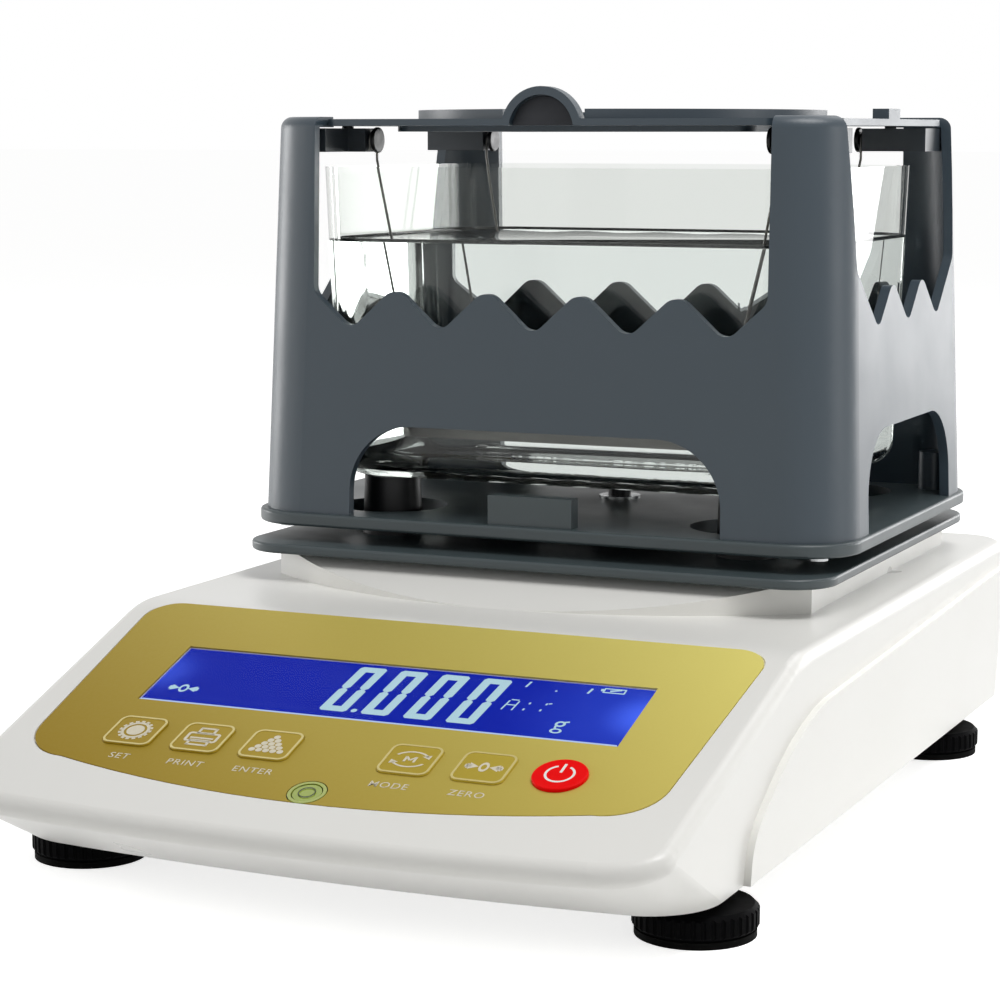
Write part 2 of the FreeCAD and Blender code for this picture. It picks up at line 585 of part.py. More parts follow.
def rounded_rectangle(half_width, half_depth, corner, centre_y, z):
    """Rounded rectangle across z, as a wire."""
    corners = [V(-half_width, centre_y - half_depth, z), V(half_width, centre_y - half_depth, z),
               V(half_width, centre_y + half_depth, z), V(-half_width, centre_y + half_depth, z)]
    return rounded_wire(corners, [corner] * len(corners))


def slab(wire, high):
    return Part.Face(wire).extrude(V(0, 0, high))


def edges_at(shape, level):
    """Edges that lie flat at one height."""
    flat = 1e-4
    return [e for e in shape.Edges
            if abs(e.BoundBox.ZMin - level) < flat and abs(e.BoundBox.ZMax - level) < flat]


def block(x_low, x_high, y_low, y_high, z_low, z_high):
    return Part.makeBox(x_high - x_low, y_high - y_low, z_high - z_low, V(x_low, y_low, z_low))


def drill(radius, x, y, low, high):
    """Upright cylinder, to add or to cut."""
    return Part.makeCylinder(radius, high - low, V(x, y, low))


# ---------------------------------------------------------------- housing

TILT = math.radians(size("panel_tilt"))
SKIRT = size("skirt_z")
DECK = size("deck_z")
PAN_Y = size("pan_y")
PLAY = size("play")
WALL = size("cover_wall")
BACK = size("housing_back_y")
REACH = size("cutter_reach")
PAN_LOW = size("pan_floor_z")
PAN_TOP = PAN_LOW + size("pan_floor_thickness")


def corner_on_arc(hub, bow, side_start, side_end, radius):
    """Arc that rounds the corner between a bowed front and a straight side."""
    along = (side_end - side_start).normalize()
    inward = V(-along.y, along.x, 0)
    start = side_start + inward * radius - hub
    middle_term = start.dot(along)
    rest = start.dot(start) - (bow - radius) ** 2
    centre = hub + start + along * (-middle_term - math.sqrt(middle_term ** 2 - rest))
    outward = (centre - hub).normalize()
    return centre + outward * radius, centre + (outward - inward).normalize() * radius, centre - inward * radius


def plan_wire(z, inset, proud):
    """Outline of the housing across one height: a bowed front and leaning sides."""
    ridge_z = DECK - (size("crease_y") - size("ridge_y")) * math.tan(TILT)
    chin_slope = (size("chin_y") - size("ridge_y")) / (ridge_z - SKIRT)
    front_y = size("chin_y") - (z - SKIRT) * chin_slope + inset * math.hypot(1, chin_slope)
    back_y = BACK - inset
    lean = size("skirt_tuck") * (DECK - z) / (DECK - SKIRT)
    side_x = size("half_width") - lean - inset + proud
    bulge = size("front_bulge")
    bow = (size("half_width") ** 2 + bulge ** 2) / (2 * bulge) - inset
    hub = V(0, front_y + bow, z)
    start, end = V(side_x, size("ridge_y"), z), V(side_x, back_y, z)
    right = list(corner_on_arc(hub, bow, start, end, size("front_corner_radius") - inset))
    right += corner_between_lines(end, start, V(0, back_y, z), size("back_corner_radius") - inset)
    left = [V(-p.x, p.y, p.z) for p in right]
    return Part.Wire([arc(left[0], V(0, front_y, z), right[0]),
                      arc(right[0], right[1], right[2]), line(right[2], right[3]),
                      arc(right[3], right[4], right[5]), line(right[5], left[5]),
                      arc(left[5], left[4], left[3]), line(left[3], left[2]),
                      arc(left[2], left[1], left[0])])


def plan_solid(inset, proud):
    """Housing block with leaning sides, not yet cut by its top surfaces."""
    low = SKIRT - (REACH if inset else 0)
    return Part.makeLoft([plan_wire(low, inset, proud), plan_wire(DECK + REACH / 2, inset, proud)], True, True)


def side_profile(points, radii):
    """Solid right across the housing from an outline in y and z."""
    wide = size("half_width") + REACH
    wire = rounded_wire([V(-wide, y, z) for y, z in points], radii)
    return Part.Face(wire).extrude(V(2 * wide, 0, 0))


def under_top(inset):
    """Everything below the panel slope and the deck."""
    crease = size("crease_y") + inset * math.tan(TILT / 2)
    front_y = size("ridge_y") - 2 * REACH
    front_z = DECK - inset / math.cos(TILT) - (size("crease_y") - front_y) * math.tan(TILT)
    back_y = BACK + REACH
    return side_profile([(front_y, -2 * REACH), (front_y, front_z), (crease, DECK - inset),
                         (back_y, DECK - inset), (back_y, -2 * REACH)],
                        [0, 0, size("crease_round") - inset, 0, 0])


def top_rim_edges(shape, inset):
    """Edges between the top surfaces and the walls round them."""
    chosen = []
    near = size("edge_round")
    front_limit = size("ridge_y") + size("front_bulge") + size("front_corner_radius") + 2 * inset
    side_limit = size("half_width") - inset - size("back_corner_radius")
    for edge in shape.Edges:
        middle = edge.valueAt((edge.FirstParameter + edge.LastParameter) / 2)
        top_z = DECK - inset
        if middle.y < size("crease_y"):
            top_z = DECK - inset / math.cos(TILT) - (size("crease_y") - middle.y) * math.tan(TILT)
        front = middle.y < front_limit
        back = middle.y > BACK - inset - near / 2
        across = edge.Vertexes[0].X * edge.Vertexes[-1].X < 0
        side = abs(middle.x) > side_limit and not across
        if abs(middle.z - top_z) < near and (front or back or side):
            chosen.append(edge)
    return chosen


def body_solid(inset):
    """Housing block under its top surfaces, its rim rounded, shrunk by inset."""
    core = plan_solid(inset, 0).common(under_top(inset))
    return core.makeFillet(size("edge_round") - inset, top_rim_edges(core, inset))


def fender_solid():
    """Side fenders: a swept-up front edge that runs on almost level to the back."""
    start, rise = size("fender_front_y"), size("fender_rise")
    end = BACK + REACH
    slope = (size("fender_back_z") - SKIRT - rise) / (BACK - start)
    profile = side_profile([(start, SKIRT - REACH), (start, SKIRT + size("fender_lip")),
                            (start + rise, SKIRT + rise), (end, SKIRT + rise + slope * (end - start)),
                            (end, SKIRT - REACH)],
                           [0, size("fender_low_bend"), size("fender_high_bend"), 0, 0])
    return plan_solid(0, size("fender_proud")).common(profile)


def boss_solid(inset):
    """Raised boss: a bowed front wall, cut away by a slope that rises to its top."""
    half = size("boss_half_width") - inset
    corner_y = size("boss_corner_y") + inset
    front_y = corner_y - size("boss_bulge")
    back_y = size("boss_back_y") - inset
    low_z = DECK - 2 * WALL
    top_z = size("boss_top_z") - inset
    outline = Part.Wire([arc(V(-half, corner_y, low_z), V(0, front_y, low_z), V(half, corner_y, low_z)),
                         line(V(half, corner_y, low_z), V(half, back_y, low_z)),
                         line(V(half, back_y, low_z), V(-half, back_y, low_z)),
                         line(V(-half, back_y, low_z), V(-half, corner_y, low_z))])
    scoop_tan = math.tan(math.radians(size("boss_scoop_angle")))
    scoop_low = DECK - inset * math.hypot(1, scoop_tan)
    edge_y = size("boss_corner_y") - size("boss_bulge")
    scoop = side_profile([(edge_y, scoop_low), (edge_y + REACH, scoop_low + REACH * scoop_tan),
                          (edge_y - REACH, scoop_low + REACH * scoop_tan), (edge_y - REACH, scoop_low)],
                         [0, 0, 0, 0])
    return slab(outline, top_z - low_z).cut(scoop)


def panel_frame():
    """Placement of the panel's own frame: y up the slope, z out of its face."""
    return FreeCAD.Placement(V(0, size("crease_y"), DECK), FreeCAD.Rotation(V(1, 0, 0), size("panel_tilt")))


def on_panel(thing):
    """Moves a piece from the panel's own frame to its place."""
    thing.Placement = panel_frame()
    return bind(thing, Placement__Base__y="size.crease_y", Placement__Base__z="size.deck_z",
                Placement__Rotation__Angle="size.panel_tilt")


def overlay_wire(z, grow):
    """Outline of the overlay in the panel's frame: tapered, with a bowed lower edge."""
    top = -size("overlay_top") + grow
    bottom = -size("overlay_top") - size("overlay_length") - grow
    shoulder = bottom + size("overlay_bow")
    top_half = size("overlay_top_half") + grow
    low_half = size("overlay_low_half") + grow
    corners = [V(-low_half, shoulder, z), V(low_half, shoulder, z), V(top_half, top, z), V(-top_half, top, z)]
    rounds = [size("overlay_low_round")] * 2 + [size("overlay_top_round")] * 2
    left, right, upper_right, upper_left = [
        corner_between_lines(corners[i], corners[i - 1], corners[(i + 1) % 4], rounds[i]) for i in range(4)]
    return Part.Wire([arc(*left), arc(left[2], V(0, bottom, z), right[0]), arc(*right), line(right[2], upper_right[0]),
                      arc(*upper_right), line(upper_right[2], upper_left[0]), arc(*upper_left),
                      line(upper_left[2], left[0])])


KEY_PLACES = {"key_set": -size("key_inner_x") - 2 * size("key_pitch"),
              "key_print": -size("key_inner_x") - size("key_pitch"),
              "key_enter": -size("key_inner_x"),
              "key_mode": size("key_inner_x"),
              "key_zero": size("key_inner_x") + size("key_pitch")}
KEY_Y = -size("key_drop")
VIAL_Y = -size("vial_drop")


def key_prism(x, grow, low, high):
    """Square key or its opening, in the panel's frame."""
    wire = rounded_rectangle(size("key_width") / 2 + grow, size("key_height") / 2 + grow,
                             size("key_round") + grow, KEY_Y, low)
    prism = slab(wire, high - low)
    prism.translate(V(x, 0, 0))
    return prism


def panel_openings(low, high):
    """Openings for window, keys, power key and level, in the panel's frame."""
    gap = size("key_gap")
    half_width, half_height = size("window_width") / 2, size("window_height") / 2
    middle = -size("window_drop")
    tools = [block(-half_width, half_width, middle - half_height, middle + half_height, low, high)]
    tools += [key_prism(x, gap, low, high) for x in KEY_PLACES.values()]
    tools.append(drill(size("power_radius") + gap, size("power_x"), KEY_Y, low, high))
    tools.append(drill(size("vial_radius") + PLAY, 0, VIAL_Y, low, high))
    return tools


SCREW_PLACES = [(side * size("cover_screw_x"), y) for side in (-1, 1)
                for y in (size("cover_screw_front_y"), size("cover_screw_mid_y"), size("cover_screw_back_y"))]
FOOT_PLACES = [(side * size("foot_x"), y) for side in (-1, 1) for y in (size("foot_front_y"), size("foot_back_y"))]
PLATE_SCREW_PLACES = [(sx * size("plate_screw_x"), PAN_Y + sy * size("plate_screw_y"))
                      for sx, sy in CORNERS.values()]


def top_cover():
    outer = body_solid(0).fuse([fender_solid(), boss_solid(0)])
    shell = outer.cut([body_solid(WALL), boss_solid(WALL)])
    # screw posts hang from the deck and stop on the base pan
    roof = under_top(WALL / 2)
    posts = []
    for x, y in SCREW_PLACES:
        post = drill(size("cover_post_radius"), x, y, PAN_TOP, DECK).common(roof)
        posts.append(post.cut(drill(size("cover_screw_radius") + PLAY, x, y, PAN_TOP,
                                    PAN_TOP + size("cover_screw_length"))))
    shell = shell.fuse(posts)
    place = panel_frame()
    above = size("overlay_thickness")
    seat = slab(overlay_wire(-above, PLAY), REACH / 2)
    tools = [seat] + panel_openings(-2 * WALL, above)
    for tool in tools:
        tool.Placement = place.multiply(tool.Placement)
    tools.append(drill(size("boss_hole_radius"), 0, PAN_Y, DECK - REACH / 2, DECK + REACH / 2))
    tools.append(Part.makeCylinder(size("jack_radius") + PLAY, REACH,
                                   V(size("jack_x"), BACK - REACH / 2, size("jack_z")), V(0, 1, 0)))
    half_port = size("port_shell_width") / 2 + PLAY
    half_high = size("port_shell_height") / 2 + PLAY
    tools.append(block(size("port_x") - half_port, size("port_x") + half_port, BACK - REACH / 2, BACK + REACH / 2,
                       size("jack_z") - half_high, size("jack_z") + half_high))
    tools += [drill(size("plate_screw_radius") + PLAY, x, y, DECK - REACH / 2, DECK + REACH / 2)
              for x, y in PLATE_SCREW_PLACES]
    for tool in tools:
        shell = shell.cut(tool)
    return shell.removeSplitter()


sub_part(shape_part("TopCover", top_cover()), "top_cover")

NUT_LOW = "size.pan_floor_z + size.pan_floor_thickness / 2"


def base_pan():
    """Flat bottom of the housing with its foot bosses."""
    inset = WALL + size("pan_play")
    pan = slab(plan_wire(PAN_LOW, inset, 0), size("pan_floor_thickness"))
    pan = pan.fuse([drill(size("foot_boss_radius"), x, y, PAN_TOP, PAN_TOP + size("foot_boss_height"))
                    for x, y in FOOT_PLACES])
    nut_low = PAN_LOW + size("pan_floor_thickness") / 2
    tools = [drill(size("nut_radius") + PLAY, x, y, nut_low, nut_low + size("nut_height")) for x, y in FOOT_PLACES]
    tools += [drill(size("stud_radius") + PLAY, x, y, PAN_LOW - 1, PAN_TOP + 2 * size("foot_boss_height"))
              for x, y in FOOT_PLACES]
    tools += [drill(size("cover_screw_radius") + PLAY, x, y, PAN_LOW - 1, PAN_TOP + 1) for x, y in SCREW_PLACES]
    return pan.cut(tools).removeSplitter()


sub_part(shape_part("BasePan", base_pan()), "base_pan")


# ---------------------------------------------------------------- control panel

overlay = slab(overlay_wire(-size("overlay_thickness"), 0), size("overlay_thickness"))
overlay = overlay.cut(panel_openings(-2 * size("overlay_thickness"), size("overlay_thickness")))
sub_part(on_panel(shape_part("Overlay", overlay)), "panel_overlay")

WINDOW_LEFT = "-size.window_width / 2"
WINDOW_LOW = "-size.window_drop - size.window_height / 2"
sub_part(on_panel(group("WindowPart", [
    box("Window", "size.window_width - 2 * size.play", "size.window_height - 2 * size.play",
        "size.cover_wall - size.window_sunk", WINDOW_LEFT + " + size.play", WINDOW_LOW + " + size.play",
        "-size.cover_wall")])), "lcd_window")


def behind_window(name, grow, thickness):
    """Block flat against the inside of the panel, larger than the window all round."""
    return box(name, "size.window_width + 2 * (%s)" % grow, "size.window_height + 2 * (%s)" % grow, thickness,
               WINDOW_LEFT + " - (%s)" % grow, WINDOW_LOW + " - (%s)" % grow, "-size.cover_wall - (%s)" % thickness)


sub_part(on_panel(group("GlassPart", [behind_window("Glass", "size.display_margin", "size.glass_thickness")])),
         "lcd_glass")

holder = behind_window("Holder", "size.display_margin + size.glass_thickness", "size.holder_depth")
holder_seat = behind_window("HolderSeat", "size.display_margin", "size.glass_thickness")
holder_legs = [box("HolderLeg" + name, "size.switch_side", "size.switch_side",
                   "size.board_drop - size.cover_wall - size.holder_depth",
                   "%d * size.window_width / 2 - size.switch_side / 2" % side,
                   "-size.window_drop - size.switch_side / 2", "-size.board_drop")
               for name, side in (("Left", -1), ("Right", 1))]
sub_part(on_panel(cut("HolderPart", fuse("HolderBody", [holder] + holder_legs), [holder_seat])), "lcd_holder")

sub_part(on_panel(group("BoardPart", [
    box("Board", "size.board_width", "size.board_length", "size.board_thickness", "-size.board_width / 2",
        "-size.board_top - size.board_length", "-size.board_drop - size.board_thickness")])), "main_board")

KEY_X = {"key_set": "-size.key_inner_x - 2 * size.key_pitch", "key_print": "-size.key_inner_x - size.key_pitch",
         "key_enter": "-size.key_inner_x", "key_mode": "size.key_inner_x",
         "key_zero": "size.key_inner_x + size.key_pitch", "power_button": "size.power_x"}
switches = []
for name, x in KEY_X.items():
    housing = box("Switch" + title(name), "size.switch_side", "size.switch_side", "size.switch_body",
                  x + " - size.switch_side / 2", "-size.key_drop - size.switch_side / 2", "-size.board_drop")
    plunger = rod("Plunger" + title(name), "size.switch_pin_radius",
                  "size.board_drop - size.key_depth - size.switch_gap", x, "-size.key_drop", "-size.board_drop")
    switches.append(fuse("SwitchBody" + title(name), [housing, plunger]))
sub_part(on_panel(group("Switches", switches)), "key_switches")

for name, x in KEY_PLACES.items():
    cap = key_prism(x, 0, -size("key_depth"), size("key_proud"))
    cap = cap.makeFillet(size("key_edge"), edges_at(cap, size("key_proud")))
    sub_part(on_panel(shape_part(title(name), cap)), name)

power = rod("PowerKey", "size.power_radius", "size.key_depth + size.power_proud", "size.power_x", "-size.key_drop",
            "-size.key_depth")
doc.recompute()
power_soft = doc.addObject("Part::Fillet", "PowerKeySoft")
power_soft.Base = power
power_soft.Edges = [(i, size("key_edge"), size("key_edge")) for i, e in enumerate(power.Shape.Edges, start=1)
                    if abs(e.BoundBox.ZMin - size("power_proud")) < 1e-4]
sub_part(on_panel(group("PowerKeyPart", [power_soft])), "power_button")

VIAL_RULE = "-size.vial_drop"
CUP_FLOOR = "-size.vial_depth + size.vial_wall"
cup = fuse("CupBody", [
    rod("CupTube", "size.vial_radius", "size.vial_depth", "0", VIAL_RULE, "-size.vial_depth"),
    rod("CupFlange", "size.vial_flange_radius", "size.vial_depth - size.cover_wall", "0", VIAL_RULE,
        "-size.vial_depth")])
cup_bore = rod("CupBore", "size.vial_radius - size.vial_wall", "size.vial_depth", "0", VIAL_RULE, CUP_FLOOR)
sub_part(on_panel(cut("CupPart", cup, [cup_bore])), "level_cup")

liquid = rod("Liquid", "size.vial_radius - size.vial_wall - size.play",
             "size.vial_depth - size.vial_wall - size.window_sunk", "0", VIAL_RULE, CUP_FLOOR)
bubble_space = bind(doc.addObject("Part::Sphere", "BubbleSpace"), Radius="size.bubble_radius + size.play",
                    Placement__Base__y=VIAL_RULE, Placement__Base__z="-size.bubble_sunk - size.bubble_radius")
sub_part(on_panel(cut("LiquidPart", liquid, [bubble_space])), "level_liquid")
sub_part(on_panel(group("BubblePart", [
    bind(doc.addObject("Part::Sphere", "Bubble"), Radius="size.bubble_radius", Placement__Base__y=VIAL_RULE,
         Placement__Base__z="-size.bubble_sunk - size.bubble_radius")])), "level_bubble")


# ---------------------------------------------------------------- feet

def foot_wheel(corner):
    """Knurled wheel with its neck and stud: a turned body with a ring of grooves."""
    body = new_body("Wheel" + title(corner))
    turned = sketch(body, "Turned" + title(corner), "XZ_Plane")
    low = "size.foot_pad_thickness"
    rim = low + " + size.foot_wheel_height"
    neck = rim + " + size.foot_neck_height"
    soft = "size.foot_wheel_round"
    draw_outline(turned, "turned", [
        ("0", low), ("size.foot_radius - " + soft, low), ("size.foot_radius", low + " + " + soft),
        ("size.foot_radius", rim + " - " + soft), ("size.foot_radius - " + soft, rim),
        ("size.foot_neck_radius", rim), ("size.foot_neck_radius", neck), ("size.stud_radius", neck),
        ("size.stud_radius", "size.stud_top_z"), ("0", "size.stud_top_z")])
    spin = body.newObject("PartDesign::Revolution", "Spin" + title(corner))
    spin.Profile = turned
    spin.ReferenceAxis = (turned, ["V_Axis"])
    doc.recompute()
    before = spin.Shape.Volume
    groove = sketch(body, "Groove" + title(corner), "XY_Plane")
    draw_circle(groove, "groove", "size.knurl_radius", "size.foot_radius + size.knurl_radius - size.knurl_depth", "0")
    flute = body.newObject("PartDesign::Pocket", "Flute" + title(corner))
    flute.Profile = groove
    flute.Type = "ThroughAll"
    flute.Midplane = True
    doc.recompute()
    if flute.Shape.Volume >= before:
        raise RuntimeError("the groove cuts nothing")
    ring = body.newObject("PartDesign::PolarPattern", "Knurl" + title(corner))
    ring.Originals = [flute]
    ring.Axis = (groove, ["N_Axis"])
    ring.Angle = 360
    bind(ring, Occurrences="size.knurl_count")
    body.Tip = ring
    doc.recompute()
    return body


FOOT_RULES = {"front_left": ("-size.foot_x", "size.foot_front_y"), "front_right": ("size.foot_x", "size.foot_front_y"),
              "back_left": ("-size.foot_x", "size.foot_back_y"), "back_right": ("size.foot_x", "size.foot_back_y")}
for corner, (x, y) in FOOT_RULES.items():
    wheel = foot_wheel(corner)
    bind(wheel, Placement__Base__x=x, Placement__Base__y=y)
    sub_part(wheel, "foot_wheel_" + corner)
    sub_part(rod("Pad" + title(corner), "size.foot_pad_radius", "size.foot_pad_thickness", x, y, "0"),
             "foot_pad_" + corner)

nuts = []
for corner, (x, y) in FOOT_RULES.items():
    nut = rod("NutBody" + title(corner), "size.nut_radius", "size.nut_height", x, y, NUT_LOW)
    bore = rod("NutBore" + title(corner), "size.stud_radius + size.nut_play", "size.nut_height", x, y, NUT_LOW)
    nuts.append(cut("Nut" + title(corner), nut, [bore]))
sub_part(group("Nuts", nuts), "foot_nuts")

COVER_ROWS = {"Front": "size.cover_screw_front_y", "Middle": "size.cover_screw_mid_y", "Back": "size.cover_screw_back_y"}
cover_screws = []
for end, y in COVER_ROWS.items():
    for hand, x in (("Left", "-size.cover_screw_x"), ("Right", "size.cover_screw_x")):
        cover_screws.append(fuse("CoverScrew" + end + hand, [
            rod("CoverHead" + end + hand, "size.cover_screw_head", "size.cover_screw_head_height", x, y,
                "size.pan_floor_z - size.cover_screw_head_height"),
            rod("CoverShank" + end + hand, "size.cover_screw_radius", "size.cover_screw_length", x, y,
                "size.pan_floor_z")]))
sub_part(group("CoverScrews", cover_screws), "cover_screws")


# ---------------------------------------------------------------- inside the housing

PAN_TOP_RULE = "size.pan_floor_z + size.pan_floor_thickness"
CELL_FRONT = "size.pan_y - size.cell_tip"
CELL_MIDDLE = CELL_FRONT + " + size.cell_length / 2"
cell = box("CellBar", "size.cell_width", "size.cell_length", "size.cell_height", "-size.cell_width / 2", CELL_FRONT,
           "size.cell_low_z")
cell_holes = []
for name, side in (("Front", -1), ("Back", 1)):
    hole = doc.addObject("Part::Cylinder", "CellHole" + name)
    hole.Placement = FreeCAD.Placement(V(0, 0, 0), FreeCAD.Rotation(V(0, 1, 0), 90))
    cell_holes.append(bind(hole, Radius="size.cell_hole_radius", Height="2 * size.cell_width",
                           Placement__Base__x="-size.cell_width",
                           Placement__Base__y=CELL_MIDDLE + " + %d * size.cell_hole_pitch / 2" % side,
                           Placement__Base__z="size.cell_low_z + size.cell_height / 2"))
slit = box("CellSlit", "2 * size.cell_width", "size.cell_hole_pitch", "size.cell_hole_radius", "-size.cell_width",
           CELL_MIDDLE + " - size.cell_hole_pitch / 2",
           "size.cell_low_z + size.cell_height / 2 - size.cell_hole_radius / 2")
sub_part(cut("CellPart", cell, cell_holes + [slit]), "load_cell")

sub_part(box("CellBlock", "size.block_width", "size.block_length", "size.cell_low_z - (%s)" % PAN_TOP_RULE,
             "-size.block_width / 2", CELL_FRONT + " + size.cell_length - size.block_length", PAN_TOP_RULE),
         "load_cell_block")

sub_part(group("StopScrews", [
    rod("StopScrew" + name, "size.stop_radius", "size.cell_low_z - size.stop_gap - (%s)" % PAN_TOP_RULE,
        "%d * size.cell_width / 4" % side, CELL_FRONT + " + 2 * size.stop_radius", PAN_TOP_RULE)
    for name, side in (("Left", -1), ("Right", 1))]), "overload_stops")

BATTERY_FRONT = "size.battery_y - size.battery_depth / 2"
battery = box("Battery", "size.battery_length", "size.battery_depth", "size.battery_height",
              "-size.battery_length / 2", BATTERY_FRONT, PAN_TOP_RULE)
doc.recompute()
battery_soft = doc.addObject("Part::Chamfer", "BatterySoft")
battery_soft.Base = battery
battery_soft.Edges = [(i, size("battery_soft"), size("battery_soft"))
                      for i, e in enumerate(battery.Shape.Edges, start=1)
                      if e.BoundBox.XLength > size("battery_length") / 2 and e.BoundBox.ZMin > PAN_TOP + 1]
sub_part(battery_soft, "battery_pack")

CLAMP_FRONT = BATTERY_FRONT + " - size.clamp_thickness - size.clamp_foot"
clamp_outer = box("ClampOuter", "size.clamp_width",
                  "size.battery_depth + 2 * size.clamp_thickness + 2 * size.clamp_foot",
                  "size.battery_height + size.clamp_thickness", "-size.clamp_width / 2", CLAMP_FRONT, PAN_TOP_RULE)
clamp_bay = box("ClampBay", "2 * size.clamp_width", "size.battery_depth", "size.battery_height", "-size.clamp_width",
                BATTERY_FRONT, PAN_TOP_RULE)
clamp_steps = [box("ClampStep" + name, "2 * size.clamp_width", "size.clamp_foot", "size.battery_height",
                   "-size.clamp_width", start, PAN_TOP_RULE + " + size.clamp_thickness")
               for name, start in (("Front", CLAMP_FRONT),
                                   ("Back", BATTERY_FRONT + " + size.battery_depth + size.clamp_thickness"))]
sub_part(cut("ClampPart", clamp_outer, [clamp_bay] + clamp_steps), "battery_clamp")


def lengthwise_rod(radius, x, y_low, y_high, z):
    return Part.makeCylinder(radius, y_high - y_low, V(x, y_low, z), V(0, 1, 0))


def adapter_jack():
    """Barrel through the back wall, with a flange inside it and a pin in its opening."""
    x, z = size("jack_x"), size("jack_z")
    inner, start = BACK - WALL, BACK - size("jack_length")
    barrel = lengthwise_rod(size("jack_radius"), x, start, BACK, z)
    flange = lengthwise_rod(size("jack_flange"), x, inner - size("flange_thickness"), inner, z)
    bore = lengthwise_rod(size("jack_bore"), x, start + size("jack_back_wall"), BACK + 1, z)
    pin = lengthwise_rod(size("jack_pin"), x, start, BACK - size("jack_back_wall"), z)
    return barrel.fuse(flange).cut(bore).fuse(pin).removeSplitter()


sub_part(shape_part("Jack", adapter_jack()), "dc_jack")


def serial_port():
    """Flange inside the back wall and a hollow shell through it."""
    x, z = size("port_x"), size("jack_z")
    inner = BACK - WALL
    half, high = size("port_width") / 2, size("port_height") / 2
    shell_half, shell_high = size("port_shell_width") / 2, size("port_shell_height") / 2
    wall = size("port_shell_wall")
    flange = block(x - half, x + half, inner - size("flange_thickness"), inner, z - high, z + high)
    shell = block(x - shell_half, x + shell_half, inner - size("port_depth"), BACK, z - shell_high, z + shell_high)
    hollow = block(x - shell_half + wall, x + shell_half - wall, inner, BACK + 1, z - shell_high + wall,
                   z + shell_high - wall)
    return flange.fuse(shell).cut(hollow).removeSplitter()


sub_part(shape_part("SerialPort", serial_port()), "serial_port")


# ---------------------------------------------------------------- plates and pillars

PLATE_TOP = size("weighing_plate_top_z")
TANK_PLATE_TOP = "size.boss_top_z + size.tank_plate_thickness"
WEIGHING_PLATE_LOW = "size.weighing_plate_top_z - size.weighing_plate_thickness"


def drilled_plate(name, half_width, half_depth, corner, thickness, round_rule, holes):
    """Rounded flat plate about its own centre, drilled and with softened rims."""
    body = new_body(name)
    outline = sketch(body, name + "Outline", "XY_Plane")
    x, y, c = half_width, half_depth, corner
    draw_outline(outline, "edge", [("-(%s)" % x, "-(%s)" % y), (x, "-(%s)" % y), (x, y), ("-(%s)" % x, y)])
    flat = pad(body, name + "Pad", outline, thickness)
    upright = ["Edge%d" % i for i, e in enumerate(flat.Shape.Edges, start=1)
               if e.BoundBox.ZLength > rule_value(thickness) / 2]
    corners = body.newObject("PartDesign::Fillet", name + "Corners")
    corners.Base = (flat, upright)
    bind(corners, Radius=c)
    doc.recompute()
    soft = body.newObject("PartDesign::Fillet", name + "Rims")
    soft.Base = (corners, rim_edges(corners.Shape, [0, rule_value(thickness)]))
    bind(soft, Radius=round_rule)
    doc.recompute()
    drawing = sketch(body, name + "Holes", "XY_Plane")
    for i, (radius, hole_x, hole_y) in enumerate(holes):
        draw_circle(drawing, "hole%d" % i, radius, hole_x, hole_y)
    body.Tip = pocket(body, name + "Drilled", drawing)
    doc.recompute()
    return body


def at_corners(radius, x, y, shift=""):
    """Four holes mirrored about the middle, with a common shift along y."""
    return [(radius, "%d * size.%s" % (sx, x), "%d * size.%s%s" % (sy, y, shift)) for sx, sy in CORNERS.values()]


TANK_PLATE_MIDDLE = "(size.tank_plate_front_y + size.tank_plate_back_y) / 2"
SHIFT = " + size.pan_y - " + TANK_PLATE_MIDDLE
tank_plate = drilled_plate("TankBasePlate", "size.tank_plate_half_width",
                           "(size.tank_plate_back_y - size.tank_plate_front_y) / 2", "size.tank_plate_corner",
                           "size.tank_plate_thickness", "size.plate_edge_round",
                           [("size.tank_plate_hole", "0", "size.pan_y - " + TANK_PLATE_MIDDLE)]
                           + at_corners("size.plate_screw_radius + size.play", "plate_screw_x", "plate_screw_y", SHIFT))
bind(tank_plate, Placement__Base__y=TANK_PLATE_MIDDLE, Placement__Base__z="size.boss_top_z")
sub_part(tank_plate, "tank_base_plate")

plate_screws = []
for corner, (sx, sy) in CORNERS.items():
    x, y = "%d * size.plate_screw_x" % sx, "size.pan_y + %d * size.plate_screw_y" % sy
    plate_screws.append(fuse("PlateScrew" + title(corner), [
        rod("PlateHead" + title(corner), "size.plate_screw_head", "size.plate_screw_head_height", x, y,
            TANK_PLATE_TOP),
        rod("PlateShank" + title(corner), "size.plate_screw_radius", "size.tank_plate_thickness + size.cover_wall",
            x, y, "size.boss_top_z - size.cover_wall")]))
sub_part(group("PlateScrews", plate_screws), "base_plate_screws")

for corner, (sx, sy) in CORNERS.items():
    sub_part(bind(doc.addObject("Part::Cone", "Pillar" + title(corner)),
                  Radius1="size.pillar_low_radius", Radius2="size.pillar_top_radius", Height="size.pillar_height",
                  Placement__Base__x="%d * size.pillar_x" % sx,
                  Placement__Base__y="size.pan_y + %d * size.pillar_y" % sy,
                  Placement__Base__z=TANK_PLATE_TOP), "tank_pillar_" + corner)

